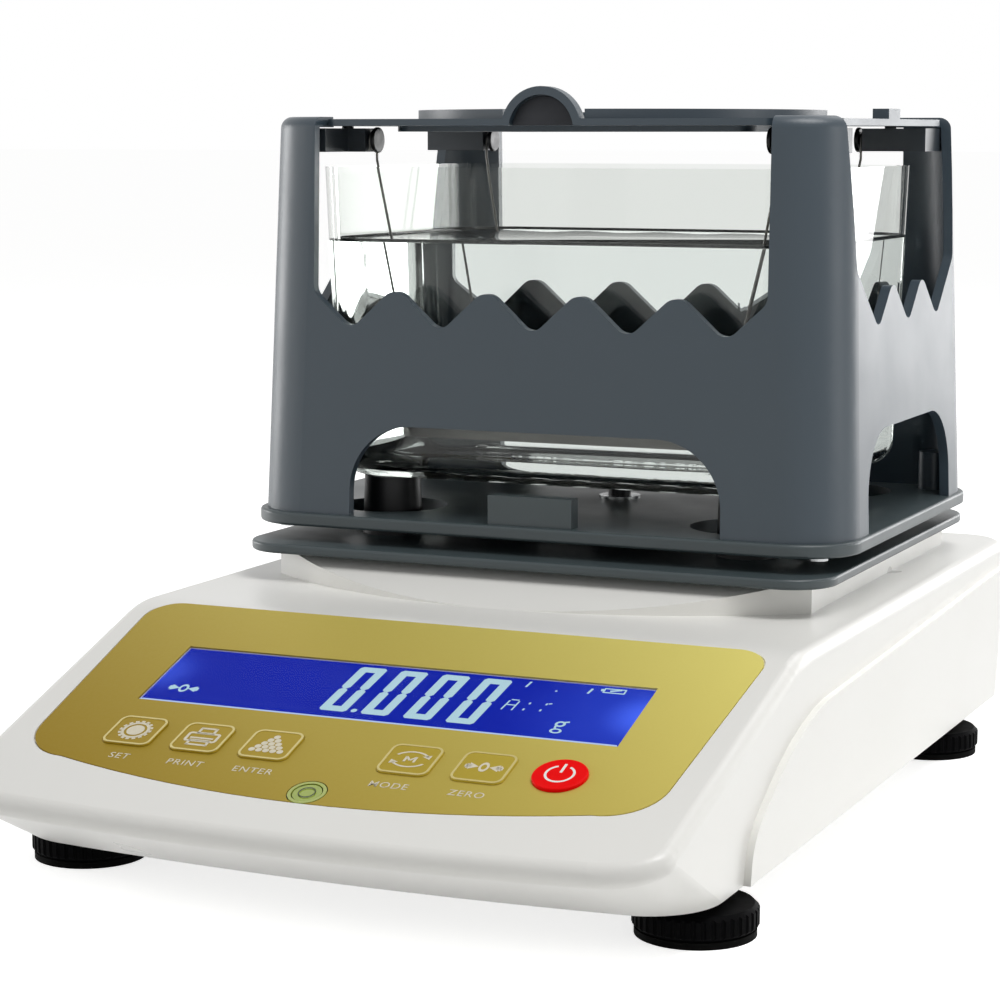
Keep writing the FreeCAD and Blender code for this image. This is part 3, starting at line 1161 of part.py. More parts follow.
plate = drilled_plate("WeighingPlate", "size.weighing_plate_half_width", "size.weighing_plate_half_depth",
                      "size.weighing_plate_corner", "size.weighing_plate_thickness", "size.plate_edge_round",
                      [("size.pan_screw_radius + size.play", "0", "0")]
                      + at_corners("size.pillar_hole_radius", "pillar_x", "pillar_y")
                      + at_corners("size.cage_screw_radius + size.play", "cage_screw_x", "cage_screw_y"))
bind(plate, Placement__Base__y="size.pan_y", Placement__Base__z=WEIGHING_PLATE_LOW)
tab = box("FrontTab", "size.tab_width", "size.tab_depth", "size.tab_height + size.weighing_plate_thickness / 2",
          "-size.tab_width / 2", "size.pan_y - size.weighing_plate_half_depth + size.tab_inset",
          "size.weighing_plate_top_z - size.weighing_plate_thickness / 2")
sub_part(fuse("WeighingPlatePart", [plate, tab]), "weighing_plate")

CELL_TOP = "size.cell_low_z + size.cell_height"
SPIDER_LOW = WEIGHING_PLATE_LOW + " - size.spider_thickness"
spider_body = fuse("SpiderBody", [
    box("SpiderAcross", "size.spider_width", "size.spider_arm", "size.spider_thickness", "-size.spider_width / 2",
        "size.pan_y - size.spider_arm / 2", SPIDER_LOW),
    box("SpiderAlong", "size.spider_arm", "size.spider_depth", "size.spider_thickness", "-size.spider_arm / 2",
        "size.pan_y - size.spider_depth / 2", SPIDER_LOW),
    rod("Stem", "size.stem_radius", WEIGHING_PLATE_LOW + " - (%s) - size.weigh_gap" % CELL_TOP, "0", "size.pan_y",
        CELL_TOP + " + size.weigh_gap")])
stem_bore = rod("StemBore", "size.pan_screw_radius + size.play", "size.pan_screw_length", "0", "size.pan_y",
                "size.weighing_plate_top_z + size.washer_thickness - size.pan_screw_length")
sub_part(cut("SpiderPart", spider_body, [stem_bore]), "pan_spider")

SCREW_SEAT = "size.weighing_plate_top_z + size.washer_thickness"
sub_part(cut("WasherPart",
             rod("WasherDisc", "size.washer_radius", "size.washer_thickness", "0", "size.pan_y",
                 "size.weighing_plate_top_z"),
             [rod("WasherHole", "size.pan_screw_radius + size.play", "size.washer_thickness", "0", "size.pan_y",
                  "size.weighing_plate_top_z")]), "pan_washer")
screw_body = fuse("PanScrewBody", [
    rod("PanScrewHead", "size.pan_screw_head", "size.pan_screw_head_height", "0", "size.pan_y", SCREW_SEAT),
    rod("PanScrewShank", "size.pan_screw_radius", "size.pan_screw_length", "0", "size.pan_y",
        SCREW_SEAT + " - size.pan_screw_length")])
socket = bind(doc.addObject("Part::Prism", "PanScrewSocket"), Circumradius="size.pan_screw_socket",
              Height="size.pan_screw_head_height", Placement__Base__y="size.pan_y",
              Placement__Base__z=SCREW_SEAT + " + size.pan_screw_head_height / 2")
sub_part(cut("PanScrewPart", screw_body, [socket]), "pan_screw")


# ---------------------------------------------------------------- cage

CAGE_TOP = PLATE_TOP + size("cage_height")
ARM_TOP = PLATE_TOP + size("arm_top")


def leaning_block(half_width, half_depth, corner, low, high, lean_low, lean_high):
    """Rounded block whose walls lean in by given amounts at its foot and its top."""
    foot = rounded_rectangle(half_width - lean_low, half_depth - lean_low, corner, PAN_Y, low)
    top = rounded_rectangle(half_width - lean_high, half_depth - lean_high, corner, PAN_Y, high)
    return Part.makeLoft([foot, top], True, True)


def cage_inside(inset, low, high):
    """Space inside the cage walls, shrunk by inset."""
    slope = size("cage_lean") / size("cage_height")
    wall = size("cage_wall") + inset
    return leaning_block(size("cage_half_width") - wall, size("cage_half_depth") - wall,
                         size("cage_corner") - wall, low, high,
                         slope * (low - PLATE_TOP), slope * (high - PLATE_TOP))


def post_gap(foot_half, top_half, pitch, count, notch_low, place):
    """Outline of the opening between two posts: a toothed lower edge, open above."""
    low = PLATE_TOP + notch_low
    rise = size("notch_rise")
    start = -(count - 1) * pitch / 2
    end_z = low + (foot_half + start) * rise / (pitch / 2)
    top_z = CAGE_TOP + 1
    spots = [(-top_half, top_z, 0), (-foot_half, end_z, size("notch_round"))]
    for i in range(2 * count - 1):
        tooth = i % 2 == 1
        spots.append((start + i * pitch / 2, low + rise if tooth else low,
                      size("tooth_round") if tooth else size("notch_round")))
    spots += [(foot_half, end_z, size("notch_round")), (top_half, top_z, 0)]
    return rounded_wire([place(a, b) for a, b, _ in spots], [radius for _, _, radius in spots])


def arch(half, high, place):
    """Outline of the low arch in a wall."""
    low = PLATE_TOP - 1
    corner = size("arch_round")
    spots = [(-half, low), (half, low), (half, PLATE_TOP + high), (-half, PLATE_TOP + high)]
    return rounded_wire([place(a, b) for a, b in spots], [0, 0, corner, corner])


def cage():
    outer = leaning_block(size("cage_half_width"), size("cage_half_depth"), size("cage_corner"),
                          PLATE_TOP, CAGE_TOP, 0, size("cage_lean"))
    outer = outer.makeFillet(size("cage_top_round"), edges_at(outer, CAGE_TOP))
    inner = cage_inside(0, PLATE_TOP - 1, ARM_TOP + PLAY)
    far = 2 * size("cage_half_width")

    def front(a, b):
        return V(a, PAN_Y - far, b)

    def side(a, b):
        return V(-far, PAN_Y + a, b)

    along_y, along_x = V(0, 2 * far, 0), V(2 * far, 0, 0)
    gaps = [Part.Face(post_gap(size("front_gap_half"), size("front_gap_half"), size("front_notch_pitch"),
                               int(size("front_notch_count")), size("front_notch_low"), front)).extrude(along_y),
            Part.Face(post_gap(size("side_gap_half"), size("side_gap_top"), size("side_notch_pitch"),
                               int(size("side_notch_count")), size("side_notch_low"), side)).extrude(along_x),
            Part.Face(arch(size("front_arch_half"), size("front_arch_height"), front)).extrude(along_y),
            Part.Face(arch(size("side_arch_half"), size("side_arch_height"), side)).extrude(along_x)]
    frame = outer.cut([inner] + gaps)
    spots = [(sx * size("cage_screw_x"), PAN_Y + sy * size("cage_screw_y")) for sx, sy in CORNERS.values()]
    boss_top = PLATE_TOP + size("cage_boss_height")
    frame = frame.fuse([drill(size("cage_boss_radius"), x, y, PLATE_TOP, boss_top).common(outer) for x, y in spots])
    bore = size("cage_screw_radius") + PLAY
    bores = [drill(bore, x, y, PLATE_TOP, boss_top - size("cage_boss_end")) for x, y in spots]
    return frame.cut(bores).removeSplitter()


sub_part(shape_part("CageFrame", cage()), "cage_frame")

cage_screws = []
for corner, (sx, sy) in CORNERS.items():
    x, y = "%d * size.cage_screw_x" % sx, "size.pan_y + %d * size.cage_screw_y" % sy
    cage_screws.append(fuse("CageScrew" + title(corner), [
        rod("CageHead" + title(corner), "size.cage_screw_head", "size.cage_screw_head_height", x, y,
            WEIGHING_PLATE_LOW + " - size.cage_screw_head_height"),
        rod("CageShank" + title(corner), "size.cage_screw_radius", "size.cage_screw_length", x, y,
            WEIGHING_PLATE_LOW)]))
sub_part(group("CageScrews", cage_screws), "cage_screws")

ARM_TOP_RULE = "size.weighing_plate_top_z + size.arm_top"
ARM_LOW_RULE = ARM_TOP_RULE + " - size.arm_height"
KNOB_Z = ARM_TOP - size("arm_height") / 2
ARM_Y = size("arm_low_y") + size("arm_width") / 2
knobs = []
for corner, (sx, sy) in CORNERS.items():
    name = title(corner)
    right, back = sx > 0, sy > 0
    arm = box("Arm" + name, "size.arm_root_x - size.arm_tip_x", "size.arm_width", "size.arm_height",
              "size.arm_tip_x" if right else "-size.arm_root_x",
              "size.pan_y + size.arm_low_y" if back else "size.pan_y - size.arm_low_y - size.arm_width", ARM_LOW_RULE)
    root = box("ArmRoot" + name, "size.arm_root_x - size.front_gap_half", "size.arm_root_y - size.arm_low_y",
               "size.arm_height", "size.front_gap_half" if right else "-size.arm_root_x",
               "size.pan_y + size.arm_low_y" if back else "size.pan_y - size.arm_root_y", ARM_LOW_RULE)
    nub = rod("ArmNub" + name, "size.nub_radius", "size.tray_gap", "%d * size.nub_x" % sx,
              "size.pan_y + %d * (size.arm_low_y + size.arm_width / 2)" % sy, ARM_TOP_RULE)
    whole = doc.addObject("Part::Common", "HookArm" + name)
    whole.Base = fuse("HookArmBody" + name, [arm, root, nub])
    whole.Tool = shape_part("PostFace" + name, cage_inside(PLAY, ARM_TOP - REACH, CAGE_TOP + 1))
    sub_part(whole, "hook_arm_" + corner)

    inward = V(-sx, 0, 0)
    spot = V(sx * size("arm_tip_x"), PAN_Y + sy * ARM_Y, KNOB_Z)
    neck = Part.makeCylinder(size("knob_groove_radius"), size("knob_groove"), spot, inward)
    disc = Part.makeCylinder(size("knob_radius"), size("knob_disc"), spot + inward * size("knob_groove"), inward)
    rims = [e for e in disc.Edges if e.BoundBox.XLength < size("knob_disc") / 2]
    knobs.append(neck.fuse(disc.makeFillet(size("knob_edge"), rims)))
sub_part(shape_part("HookKnobs", Part.makeCompound(knobs)), "hook_knobs")


# ---------------------------------------------------------------- tray

TRAY_LOW = ARM_TOP + size("tray_gap")
TRAY_TOP = TRAY_LOW + size("tray_thickness")
TRAY_FRONT = PAN_Y - size("tray_half_depth")


def top_tray():
    """Flat tray between the posts, with a finger tab and a small stop."""
    low, high = TRAY_LOW, TRAY_TOP
    narrow = size("front_gap_half") - size("tray_play")
    short = size("side_gap_top") - 2 * size("tray_play")
    wide, deep = size("tray_half_width"), size("tray_half_depth")
    plate = block(-narrow, narrow, PAN_Y - deep, PAN_Y + deep, low, high)
    plate = plate.fuse(block(-wide, wide, PAN_Y - short, PAN_Y + short, low, high)).removeSplitter()
    outer_corners = []
    for edge in plate.Edges:
        limits = edge.BoundBox
        upright = limits.ZLength > size("tray_thickness") / 2
        at_side = max(abs(limits.XMin), abs(limits.XMax)) > wide - 0.1
        at_end = max(abs(limits.YMin - PAN_Y), abs(limits.YMax - PAN_Y)) > deep - 0.1
        if upright and (at_side or at_end):
            outer_corners.append(edge)
    plate = plate.makeFillet(size("tray_corner"), outer_corners)
    centre_z = high - size("finger_sink")
    rim_radius = size("finger_radius") - size("finger_rim")
    web = TRAY_FRONT + size("finger_depth") - size("finger_web")
    above = block(-deep, deep, TRAY_FRONT - 1, TRAY_FRONT + REACH, low, high + REACH)
    finger = lengthwise_rod(size("finger_radius"), 0, TRAY_FRONT, TRAY_FRONT + size("finger_depth"), centre_z)
    scoop = lengthwise_rod(rim_radius, 0, TRAY_FRONT - 1, web, centre_z)
    nub_half = size("stop_nub_length") / 2
    nub = block(wide - size("stop_nub_width"), wide, PAN_Y - nub_half, PAN_Y + nub_half, low,
                high + size("stop_nub_height"))
    return plate.fuse([finger.common(above), nub]).cut(scoop).removeSplitter()


def pan_ring():
    """Raised ring round the pan, open where the finger tab stands."""
    top = TRAY_TOP + size("ring_height")
    ring = drill(size("ring_radius"), 0, PAN_Y, TRAY_TOP, top)
    ring = ring.cut(drill(size("ring_radius") - size("ring_width"), 0, PAN_Y, TRAY_TOP, top))
    room = size("finger_radius") + PLAY
    return ring.cut(block(-room, room, TRAY_FRONT - 1, PAN_Y, TRAY_TOP, top))


def locating_rim():
    """Upright rim under the tray that keeps it between the hook arms."""
    wall, corner = size("lip_wall"), size("lip_corner")
    low = TRAY_LOW - size("lip_height")
    rim = slab(rounded_rectangle(size("lip_half_width"), size("lip_half_depth"), corner, PAN_Y, low),
               size("lip_height"))
    return rim.cut(slab(rounded_rectangle(size("lip_half_width") - wall, size("lip_half_depth") - wall,
                                          corner - wall, PAN_Y, low), size("lip_height")))


sub_part(shape_part("TopTray", top_tray()), "top_tray")
sub_part(shape_part("PanRing", pan_ring()), "tray_ring")
sub_part(shape_part("LocatingRim", locating_rim()), "tray_rim")


# ---------------------------------------------------------------- tank and basket

TANK_LOW = size("boss_top_z") + size("tank_plate_thickness") + size("pillar_height")


def water_tank():
    """Open tank with leaning walls and a rounded bottom edge."""
    high = TANK_LOW + size("tank_height")
    lean, wall = size("tank_lean"), size("tank_wall")
    outer = leaning_block(size("tank_half_width"), size("tank_half_depth"), size("tank_corner"),
                          TANK_LOW, high, lean, 0)
    outer = outer.makeFillet(size("tank_bottom_round"), edges_at(outer, TANK_LOW))
    slope = lean / size("tank_height")
    floor = TANK_LOW + size("tank_floor")
    inner = leaning_block(size("tank_half_width") - wall, size("tank_half_depth") - wall,
                          size("tank_corner") - wall, floor, high + 1, slope * (high - floor), -slope)
    inner = inner.makeFillet(size("tank_bottom_round") - wall, edges_at(inner, floor))
    return outer.cut(inner)


sub_part(shape_part("WaterTank", water_tank()), "water_tank")


def basket_plate():
    """Perforated plate with an upright rim, hung in the water."""
    low = size("basket_z")
    half_width, half_depth = size("basket_half_width"), size("basket_half_depth")
    thick, corner = size("basket_plate"), size("basket_corner")
    plate = slab(rounded_rectangle(half_width, half_depth, corner, PAN_Y, low), size("basket_rim"))
    plate = plate.cut(slab(rounded_rectangle(half_width - thick, half_depth - thick, corner - thick, PAN_Y,
                                             low + thick), size("basket_rim")))
    pitch, radius = size("basket_hole_pitch"), size("basket_hole_radius")
    columns = int((half_width - corner) / pitch)
    rows = int((half_depth - corner) / pitch)
    holes = [drill(radius, i * pitch, PAN_Y + j * pitch, low - thick, low + 2 * thick)
             for i in range(-columns, columns + 1) for j in range(-rows, rows + 1)]
    return plate.cut(holes)


def basket_wires():
    """Four wires, each with an open hook over the groove of its knob."""
    radius = size("wire_radius")
    bend = size("knob_groove_radius") + radius + PLAY
    drop = V(0, 0, -size("hook_drop"))
    solids = []
    for sx, sy in CORNERS.values():
        centre = V(sx * (size("arm_tip_x") - size("knob_groove") / 2), PAN_Y + sy * ARM_Y, KNOB_Z)
        outside, inside = centre + V(0, sy * bend, 0), centre + V(0, -sy * bend, 0)
        below = inside + drop
        foot = V(sx * (size("basket_half_width") - size("basket_corner")),
                 PAN_Y + sy * (size("basket_half_depth") - size("basket_plate") / 2),
                 size("basket_z") + size("basket_rim") / 2)
        path = Part.Wire([line(outside + drop / 2, outside), arc(outside, centre + V(0, 0, bend), inside),
                          line(inside, below)])
        profile = Part.Wire([Part.Circle(outside + drop / 2, V(0, 0, 1), radius).toShape()])
        hook = path.makePipeShell([profile], True, False)
        lead = Part.makeCylinder(radius, (foot - below).Length, below, foot - below)
        solids.append(hook.fuse([Part.makeSphere(radius, below), lead]).removeSplitter())
    return solids


sub_part(shape_part("Basket", basket_plate().fuse(basket_wires()).removeSplitter()), "hung_basket")


# ---------------------------------------------------------------- files

doc.recompute()
failed = [thing.Name for thing in doc.Objects if {"Invalid", "Error"} & set(thing.State)]
for thing in PARTS:
    if thing.Shape.isNull() or not thing.Shape.isValid() or not thing.Shape.Solids:
        failed.append(thing.Label)
if failed:
    raise RuntimeError("failed: " + ", ".join(failed))

os.makedirs("parts", exist_ok=True)
for thing in PARTS:
    thing.Shape.exportStep("parts/" + thing.Label + ".step")
    limits = thing.Shape.optimalBoundingBox()
    print("%-26s solids %d  x %.2f %.2f  y %.2f %.2f  z %.2f %.2f" % (
        thing.Label, len(thing.Shape.Solids), limits.XMin, limits.XMax, limits.YMin, limits.YMax,
        limits.ZMin, limits.ZMax))
print("pieces", len(PARTS))
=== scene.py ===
import json
import math

import bmesh
import bpy
from mathutils import Matrix, Vector

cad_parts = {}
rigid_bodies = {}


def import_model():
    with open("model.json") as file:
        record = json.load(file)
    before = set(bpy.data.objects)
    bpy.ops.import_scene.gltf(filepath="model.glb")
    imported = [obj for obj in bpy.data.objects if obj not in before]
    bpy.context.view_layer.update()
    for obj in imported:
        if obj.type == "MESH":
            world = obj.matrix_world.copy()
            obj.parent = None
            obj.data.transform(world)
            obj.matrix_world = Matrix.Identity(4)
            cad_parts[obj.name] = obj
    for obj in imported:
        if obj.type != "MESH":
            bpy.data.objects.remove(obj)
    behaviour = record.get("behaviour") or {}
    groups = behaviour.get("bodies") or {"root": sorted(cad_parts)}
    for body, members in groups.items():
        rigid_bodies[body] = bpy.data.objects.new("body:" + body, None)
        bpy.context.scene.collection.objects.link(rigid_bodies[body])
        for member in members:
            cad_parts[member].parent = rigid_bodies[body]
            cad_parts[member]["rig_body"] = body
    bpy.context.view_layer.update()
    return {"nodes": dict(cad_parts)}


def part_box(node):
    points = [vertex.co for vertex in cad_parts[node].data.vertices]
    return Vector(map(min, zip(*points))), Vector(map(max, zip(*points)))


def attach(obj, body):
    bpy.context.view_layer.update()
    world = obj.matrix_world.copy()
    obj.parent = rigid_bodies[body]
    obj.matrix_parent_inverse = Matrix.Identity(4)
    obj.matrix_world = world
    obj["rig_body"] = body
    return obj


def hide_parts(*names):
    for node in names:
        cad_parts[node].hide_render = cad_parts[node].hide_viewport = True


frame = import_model()
nodes = frame["nodes"]
MM = 0.001

FLECK = 0.35           # grain of a light diffuser, in millimetres

# ---------------------------------------------------------------- materials


def linear(hex_colour):
    """An sRGB hex colour, such as F4F2EC, as linear RGBA."""
    shares = [int(hex_colour[i:i + 2], 16) / 255 for i in (0, 2, 4)]
    return tuple(s / 12.92 if s <= 0.04045 else ((s + 0.055) / 1.055) ** 2.4 for s in shares) + (1.0,)


def add_node(tree, kind, values=(), links=(), **settings):
    """Adds a node, sets it up, and gives its inputs numbers (values) or other nodes' outputs (links)."""
    node = tree.nodes.new(kind)
    for name, value in settings.items():
        setattr(node, name, value)
    for key, value in dict(values).items():
        node.inputs[key].default_value = value
    for key, output in dict(links).items():
        tree.links.new(output, node.inputs[key])
    return node


def empty_material(name):
    """A named material with an empty tree, its coordinates in metres and its output node."""
    material = bpy.data.materials.new(name)
    material.use_nodes = True
    tree = material.node_tree
    tree.nodes.clear()
    output = add_node(tree, "ShaderNodeOutputMaterial")
    place = add_node(tree, "ShaderNodeTexCoord").outputs["Object"]
    return material, tree, place, output


def solid_finish(name, tone, shade, patch_mm, rough, swing, grain_mm, grain_depth_mm,
                 stretch=(1, 1, 1), **sockets):
    """A solid surface: two close tones in soft patches, roughness that swings with them, and a fine relief.

    stretch draws the grain out along an axis, as brushing or turning leaves it.
    """
    material, tree, place, output = empty_material(name)
    turned = add_node(tree, "ShaderNodeMapping", {"Scale": stretch}, {"Vector": place})
    patches = add_node(tree, "ShaderNodeTexNoise", {"Scale": 1 / (patch_mm * MM), "Detail": 3.0, "Roughness": 0.55},
                       {"Vector": place})
    colour = add_node(tree, "ShaderNodeMix", {6: linear(tone), 7: linear(shade)},
                      {0: patches.outputs[0]}, data_type="RGBA")
    gloss = add_node(tree, "ShaderNodeMapRange", {"From Min": 0.3, "From Max": 0.7,
                                                  "To Min": max(rough - swing, 0.02), "To Max": rough + swing},
                     {"Value": patches.outputs[0]})
    grain = add_node(tree, "ShaderNodeTexNoise", {"Scale": 1 / (grain_mm * MM), "Detail": 2.0, "Roughness": 0.6},
                     {"Vector": turned.outputs[0]})
    relief = add_node(tree, "ShaderNodeBump", {"Strength": 1.0, "Distance": grain_depth_mm * MM},
                      {"Height": grain.outputs[0]})
    shader = add_node(tree, "ShaderNodeBsdfPrincipled",
                      {key.replace("_", " "): value for key, value in sockets.items()},
                      {"Base Color": colour.outputs[2], "Roughness": gloss.outputs[0],
                       "Normal": relief.outputs[0]})
    tree.links.new(shader.outputs[0], output.inputs["Surface"])
    return material


def clear_finish(name, tint, ior, rough, ripple_mm, ripple_depth_mm):
    """A clear body: its tint, its bending of light, and the faint ripple that moulding leaves in it."""
    material, tree, place, output = empty_material(name)
    ripple = add_node(tree, "ShaderNodeTexNoise", {"Scale": 1 / (ripple_mm * MM), "Detail": 1.5},
                      {"Vector": place})
    relief = add_node(tree, "ShaderNodeBump", {"Strength": 1.0, "Distance": ripple_depth_mm * MM},
                      {"Height": ripple.outputs[0]})
    haze = add_node(tree, "ShaderNodeMapRange", {"To Min": rough, "To Max": rough + 0.02},
                    {"Value": ripple.outputs[0]})
    shader = add_node(tree, "ShaderNodeBsdfPrincipled",
                      {"Base Color": linear(tint), "IOR": ior, "Transmission Weight": 1.0},
                      {"Roughness": haze.outputs[0], "Normal": relief.outputs[0]})
    tree.links.new(shader.outputs[0], output.inputs["Surface"])
    return material


# Moulded ABS, warm white: smooth tool-polished skin that gives soft broad highlights.
white_abs = solid_finish("moulded_abs_warm_white", "F2F1ED", "F0EFEA", 60, 0.3, 0.03, 1.1, 0.0012, IOR=1.5)
# The base pan is the same ABS off a spark-eroded tool, so it is duller and a little greyer.
grey_abs = solid_finish("moulded_abs_textured_base", "DEDCD6", "D8D6CF", 30, 0.5, 0.05, 0.6, 0.01, IOR=1.5)


def pearl_finish(name, deep, pale, rough, coat):
    """Gold pearl ink under film, with fine flakes that glint.

    Its tone drifts from deep gold at the lower left to pale gold at the upper right. The drift is painted on. It
    stands in for the way such a film takes the light of its room.
    """
    material, tree, place, output = empty_material(name)
    parts = add_node(tree, "ShaderNodeSeparateXYZ", {}, {0: place})
    across = add_node(tree, "ShaderNodeMapRange", {"From Min": -0.1, "From Max": 0.1, "To Min": 0.0, "To Max": 0.62},
                      {"Value": parts.outputs[0]})
    upward = add_node(tree, "ShaderNodeMapRange", {"From Min": -0.15, "From Max": -0.06, "To Min": 0.0,
                                                   "To Max": 0.38}, {"Value": parts.outputs[1]})
    drift = add_node(tree, "ShaderNodeMath", {}, {0: across.outputs[0], 1: upward.outputs[0]}, operation="ADD")
    drift = add_node(tree, "ShaderNodeMath", {1: 1.5}, {0: drift.outputs[0]}, operation="POWER")
    tone = add_node(tree, "ShaderNodeMix", {6: linear(deep), 7: linear(pale)}, {0: drift.outputs[0]},
                    data_type="RGBA")
    flakes = add_node(tree, "ShaderNodeTexNoise", {"Scale": 1 / (0.9 * MM), "Detail": 2.0}, {"Vector": place})
    gloss = add_node(tree, "ShaderNodeMapRange", {"From Min": 0.3, "From Max": 0.7, "To Min": rough - 0.04,
                                                  "To Max": rough + 0.04}, {"Value": flakes.outputs[0]})
    relief = add_node(tree, "ShaderNodeBump", {"Strength": 1.0, "Distance": 0.0018 * MM},
                      {"Height": flakes.outputs[0]})
    shader = add_node(tree, "ShaderNodeBsdfPrincipled",
                      {"Metallic": 0.3, "Specular IOR Level": 0.08, "Coat Weight": coat, "Coat Roughness": 0.22},
                      {"Base Color": tone.outputs[2], "Roughness": gloss.outputs[0], "Normal": relief.outputs[0]})
    tree.links.new(shader.outputs[0], output.inputs["Surface"])
    return material


# Polyester film printed with gold pearl ink on its back: satin, with a slight sparkle of fine flakes.
gold_film = pearl_finish("printed_gold_pearl_film", "987C12", "F6EA86", 0.44, 0.0)
# Embossed key domes in the same film, where the stretched ink looks a little deeper and glossier.
gold_dome = pearl_finish("embossed_gold_pearl_film", "9A7D0E", "E8D65E", 0.38, 0.06)
# Red silicone-ink key under clear film: saturated, with a wet-looking gloss.
red_dome = solid_finish("printed_red_gloss_film", "FC0306", "F60204", 6, 0.4, 0.04, 0.5, 0.002,
                        Specular_IOR_Level=0.08)
# Screen-printed ink, off-white: matt and a touch uneven, as thin ink lies on film.
pale_ink = solid_finish("screen_printed_pale_ink", "E6DFCC", "DCD3B8", 0.6, 0.5, 0.08, 0.25, 0.004)
# The keys' raised borders: gold with a painted highlight, paler than the film, standing in for the light that
# catches along their tops.
border_painted_highlight = solid_finish("embossed_gold_line_painted_highlight", "E2D490", "D2C278", 0.8, 0.32, 0.05, 0.3, 0.003, Metallic=0.25)
white_ink = solid_finish("screen_printed_white_ink", "FBFBF8", "F2F2EE", 0.8, 0.45, 0.05, 0.25, 0.003)
# Satin slate ABS of the frame: fine spark texture that spreads highlights into a soft sheen.
slate_abs = solid_finish("satin_slate_abs", "33404A", "303D47", 35, 0.4, 0.03, 0.45, 0.005,
                         Specular_IOR_Level=0.6)
# The hook arms stand in the frame's own shade. That shade is painted into them: they are the frame's slate, painted
# darker.
slate_arm_painted_shade = solid_finish("satin_slate_abs_painted_shade", "2C3339", "293036", 12, 0.4, 0.04, 0.45, 0.006, IOR=1.5)
# The plates are the same resin with a closer texture, so they look darker and a little shinier.
slate_plate = solid_finish("satin_slate_abs_plate", "3E484B", "3A4447", 30, 0.38, 0.04, 0.4, 0.006, IOR=1.5)
# Turned and knurled nylon feet: black, dull, with dust-grey variation.
foot_nylon = solid_finish("black_glass_filled_nylon", "040405", "070708", 8, 0.6, 0.06, 0.3, 0.01,
                          Specular_IOR_Level=0.03)
# Rubber pads: matt charcoal.
pad_rubber = solid_finish("moulded_black_rubber", "080808", "0C0C0B", 5, 0.8, 0.08, 0.5, 0.02,
                          Specular_IOR_Level=0.05)
# Black moulded posts, sockets and holders: semi-gloss.
black_abs = solid_finish("moulded_black_abs", "121315", "17181A", 12, 0.42, 0.05, 0.4, 0.006,
                         Specular_IOR_Level=0.3)
# Near-black inlay of the finger tab, painted shade: it stands in for the shade that fills the tab's recess. Dull,
# with a faint blue cast.
inlay_painted_shade = solid_finish("tab_inlay_painted_shade", "25272C", "212328", 6, 0.6, 0.05, 0.5, 0.006,
                          Specular_IOR_Level=0.35)
# Blackened steel knobs and centre screw: dark oxide that still shines on its edges.
black_steel = solid_finish("blackened_steel", "141517", "0E0F11", 3, 0.34, 0.08, 0.3, 0.003, Metallic=0.4)
# Drawn stainless wire and perforated plate: bright, with fine draw lines.
steel = solid_finish("drawn_stainless_steel", "B9BBBB", "A6A8A9", 4, 0.24, 0.08, 0.25, 0.004,
                     stretch=(1, 1, 0.1), Metallic=1.0)
# The basket's wires are the same steel, drawn thin and painted darker: painted shade, standing in for how dark they
# look in the water.
wire_steel_painted_shade = solid_finish("stainless_wire_painted_shade", "6E6C68", "605F5C", 4, 0.38, 0.06, 0.25, 0.003, Metallic=0.6)
# Cast and milled aluminium: pale grey with cutter lines.
aluminium = solid_finish("milled_aluminium", "C6C8CA", "B4B7B9", 6, 0.33, 0.08, 0.3, 0.006,
                         stretch=(0.12, 1, 1), Metallic=1.0)
# Turned brass inserts: warm yellow, faint turning marks.
brass = solid_finish("turned_brass", "C9A553", "B58F42", 3, 0.28, 0.08, 0.2, 0.005, stretch=(1, 1, 4), Metallic=1.0)
# Solder-masked glass epoxy board: dark green with a wet sheen over a fine weave.
board_epoxy = solid_finish("solder_masked_glass_epoxy", "1E5A36", "184C2D", 3, 0.3, 0.06, 0.5, 0.01, Coat_Weight=0.4)
# Shrink-wrapped battery: blue vinyl, tight and glossy.
battery_vinyl = solid_finish("shrink_wrapped_blue_vinyl", "2C4B8C", "24407A", 10, 0.3, 0.06, 1.2, 0.03)
# Acrylic window over the display. Its IOR is set near that of air, well below that of acrylic, so that
# hardly any reflection lies over the display.
window_acrylic = clear_finish("coated_acrylic_window", "FFFFFF", 1.04, 0.0, 20, 0.0003)
# Moulded clear polystyrene tank: water-white, with slow ripples from moulding. Its IOR is set well below that
# of polystyrene, so that what stands behind it stays dark.
tank_styrene = clear_finish("moulded_clear_polystyrene", "EFF1EF", 1.22, 0.0, 40, 0.002)
# Water: nearly colourless, flat.
water_clear = clear_finish("still_water", "FAFDFD", 1.333, 0.0, 30, 0.001)
# Acrylic cup of the level: it carries the spirit's colour up to its rim, so it looks pale yellow-green.
vial_acrylic = solid_finish("dyed_acrylic_cup", "B4C05A", "9FAE45", 3, 0.2, 0.04, 2, 0.001, Coat_Weight=0.3)
# Dyed spirit of the level: yellow-green and bright, because its cup scatters light into it.
level_spirit = solid_finish("dyed_level_spirit", "A5B838", "93A72B", 3, 0.15, 0.03, 2, 0.001,
                            Coat_Weight=0.4)
# The water's edge against the wall bends light away from the eye, so it shows as a dark line. That dark line is
# painted shade, on an opaque band.
water_edge = solid_finish("meniscus_painted_shade", "4A4D4C", "2E302F", 5, 0.12, 0.04, 4, 0.002)
bubble_air = solid_finish("level_bubble_skin", "D5DE7C", "C6D064", 2, 0.1, 0.02, 2, 0.001, Coat_Weight=0.8)
dark_ring = solid_finish("printed_dark_green_ring", "3F4A18", "36400F", 1, 0.4, 0.05, 0.3, 0.002)


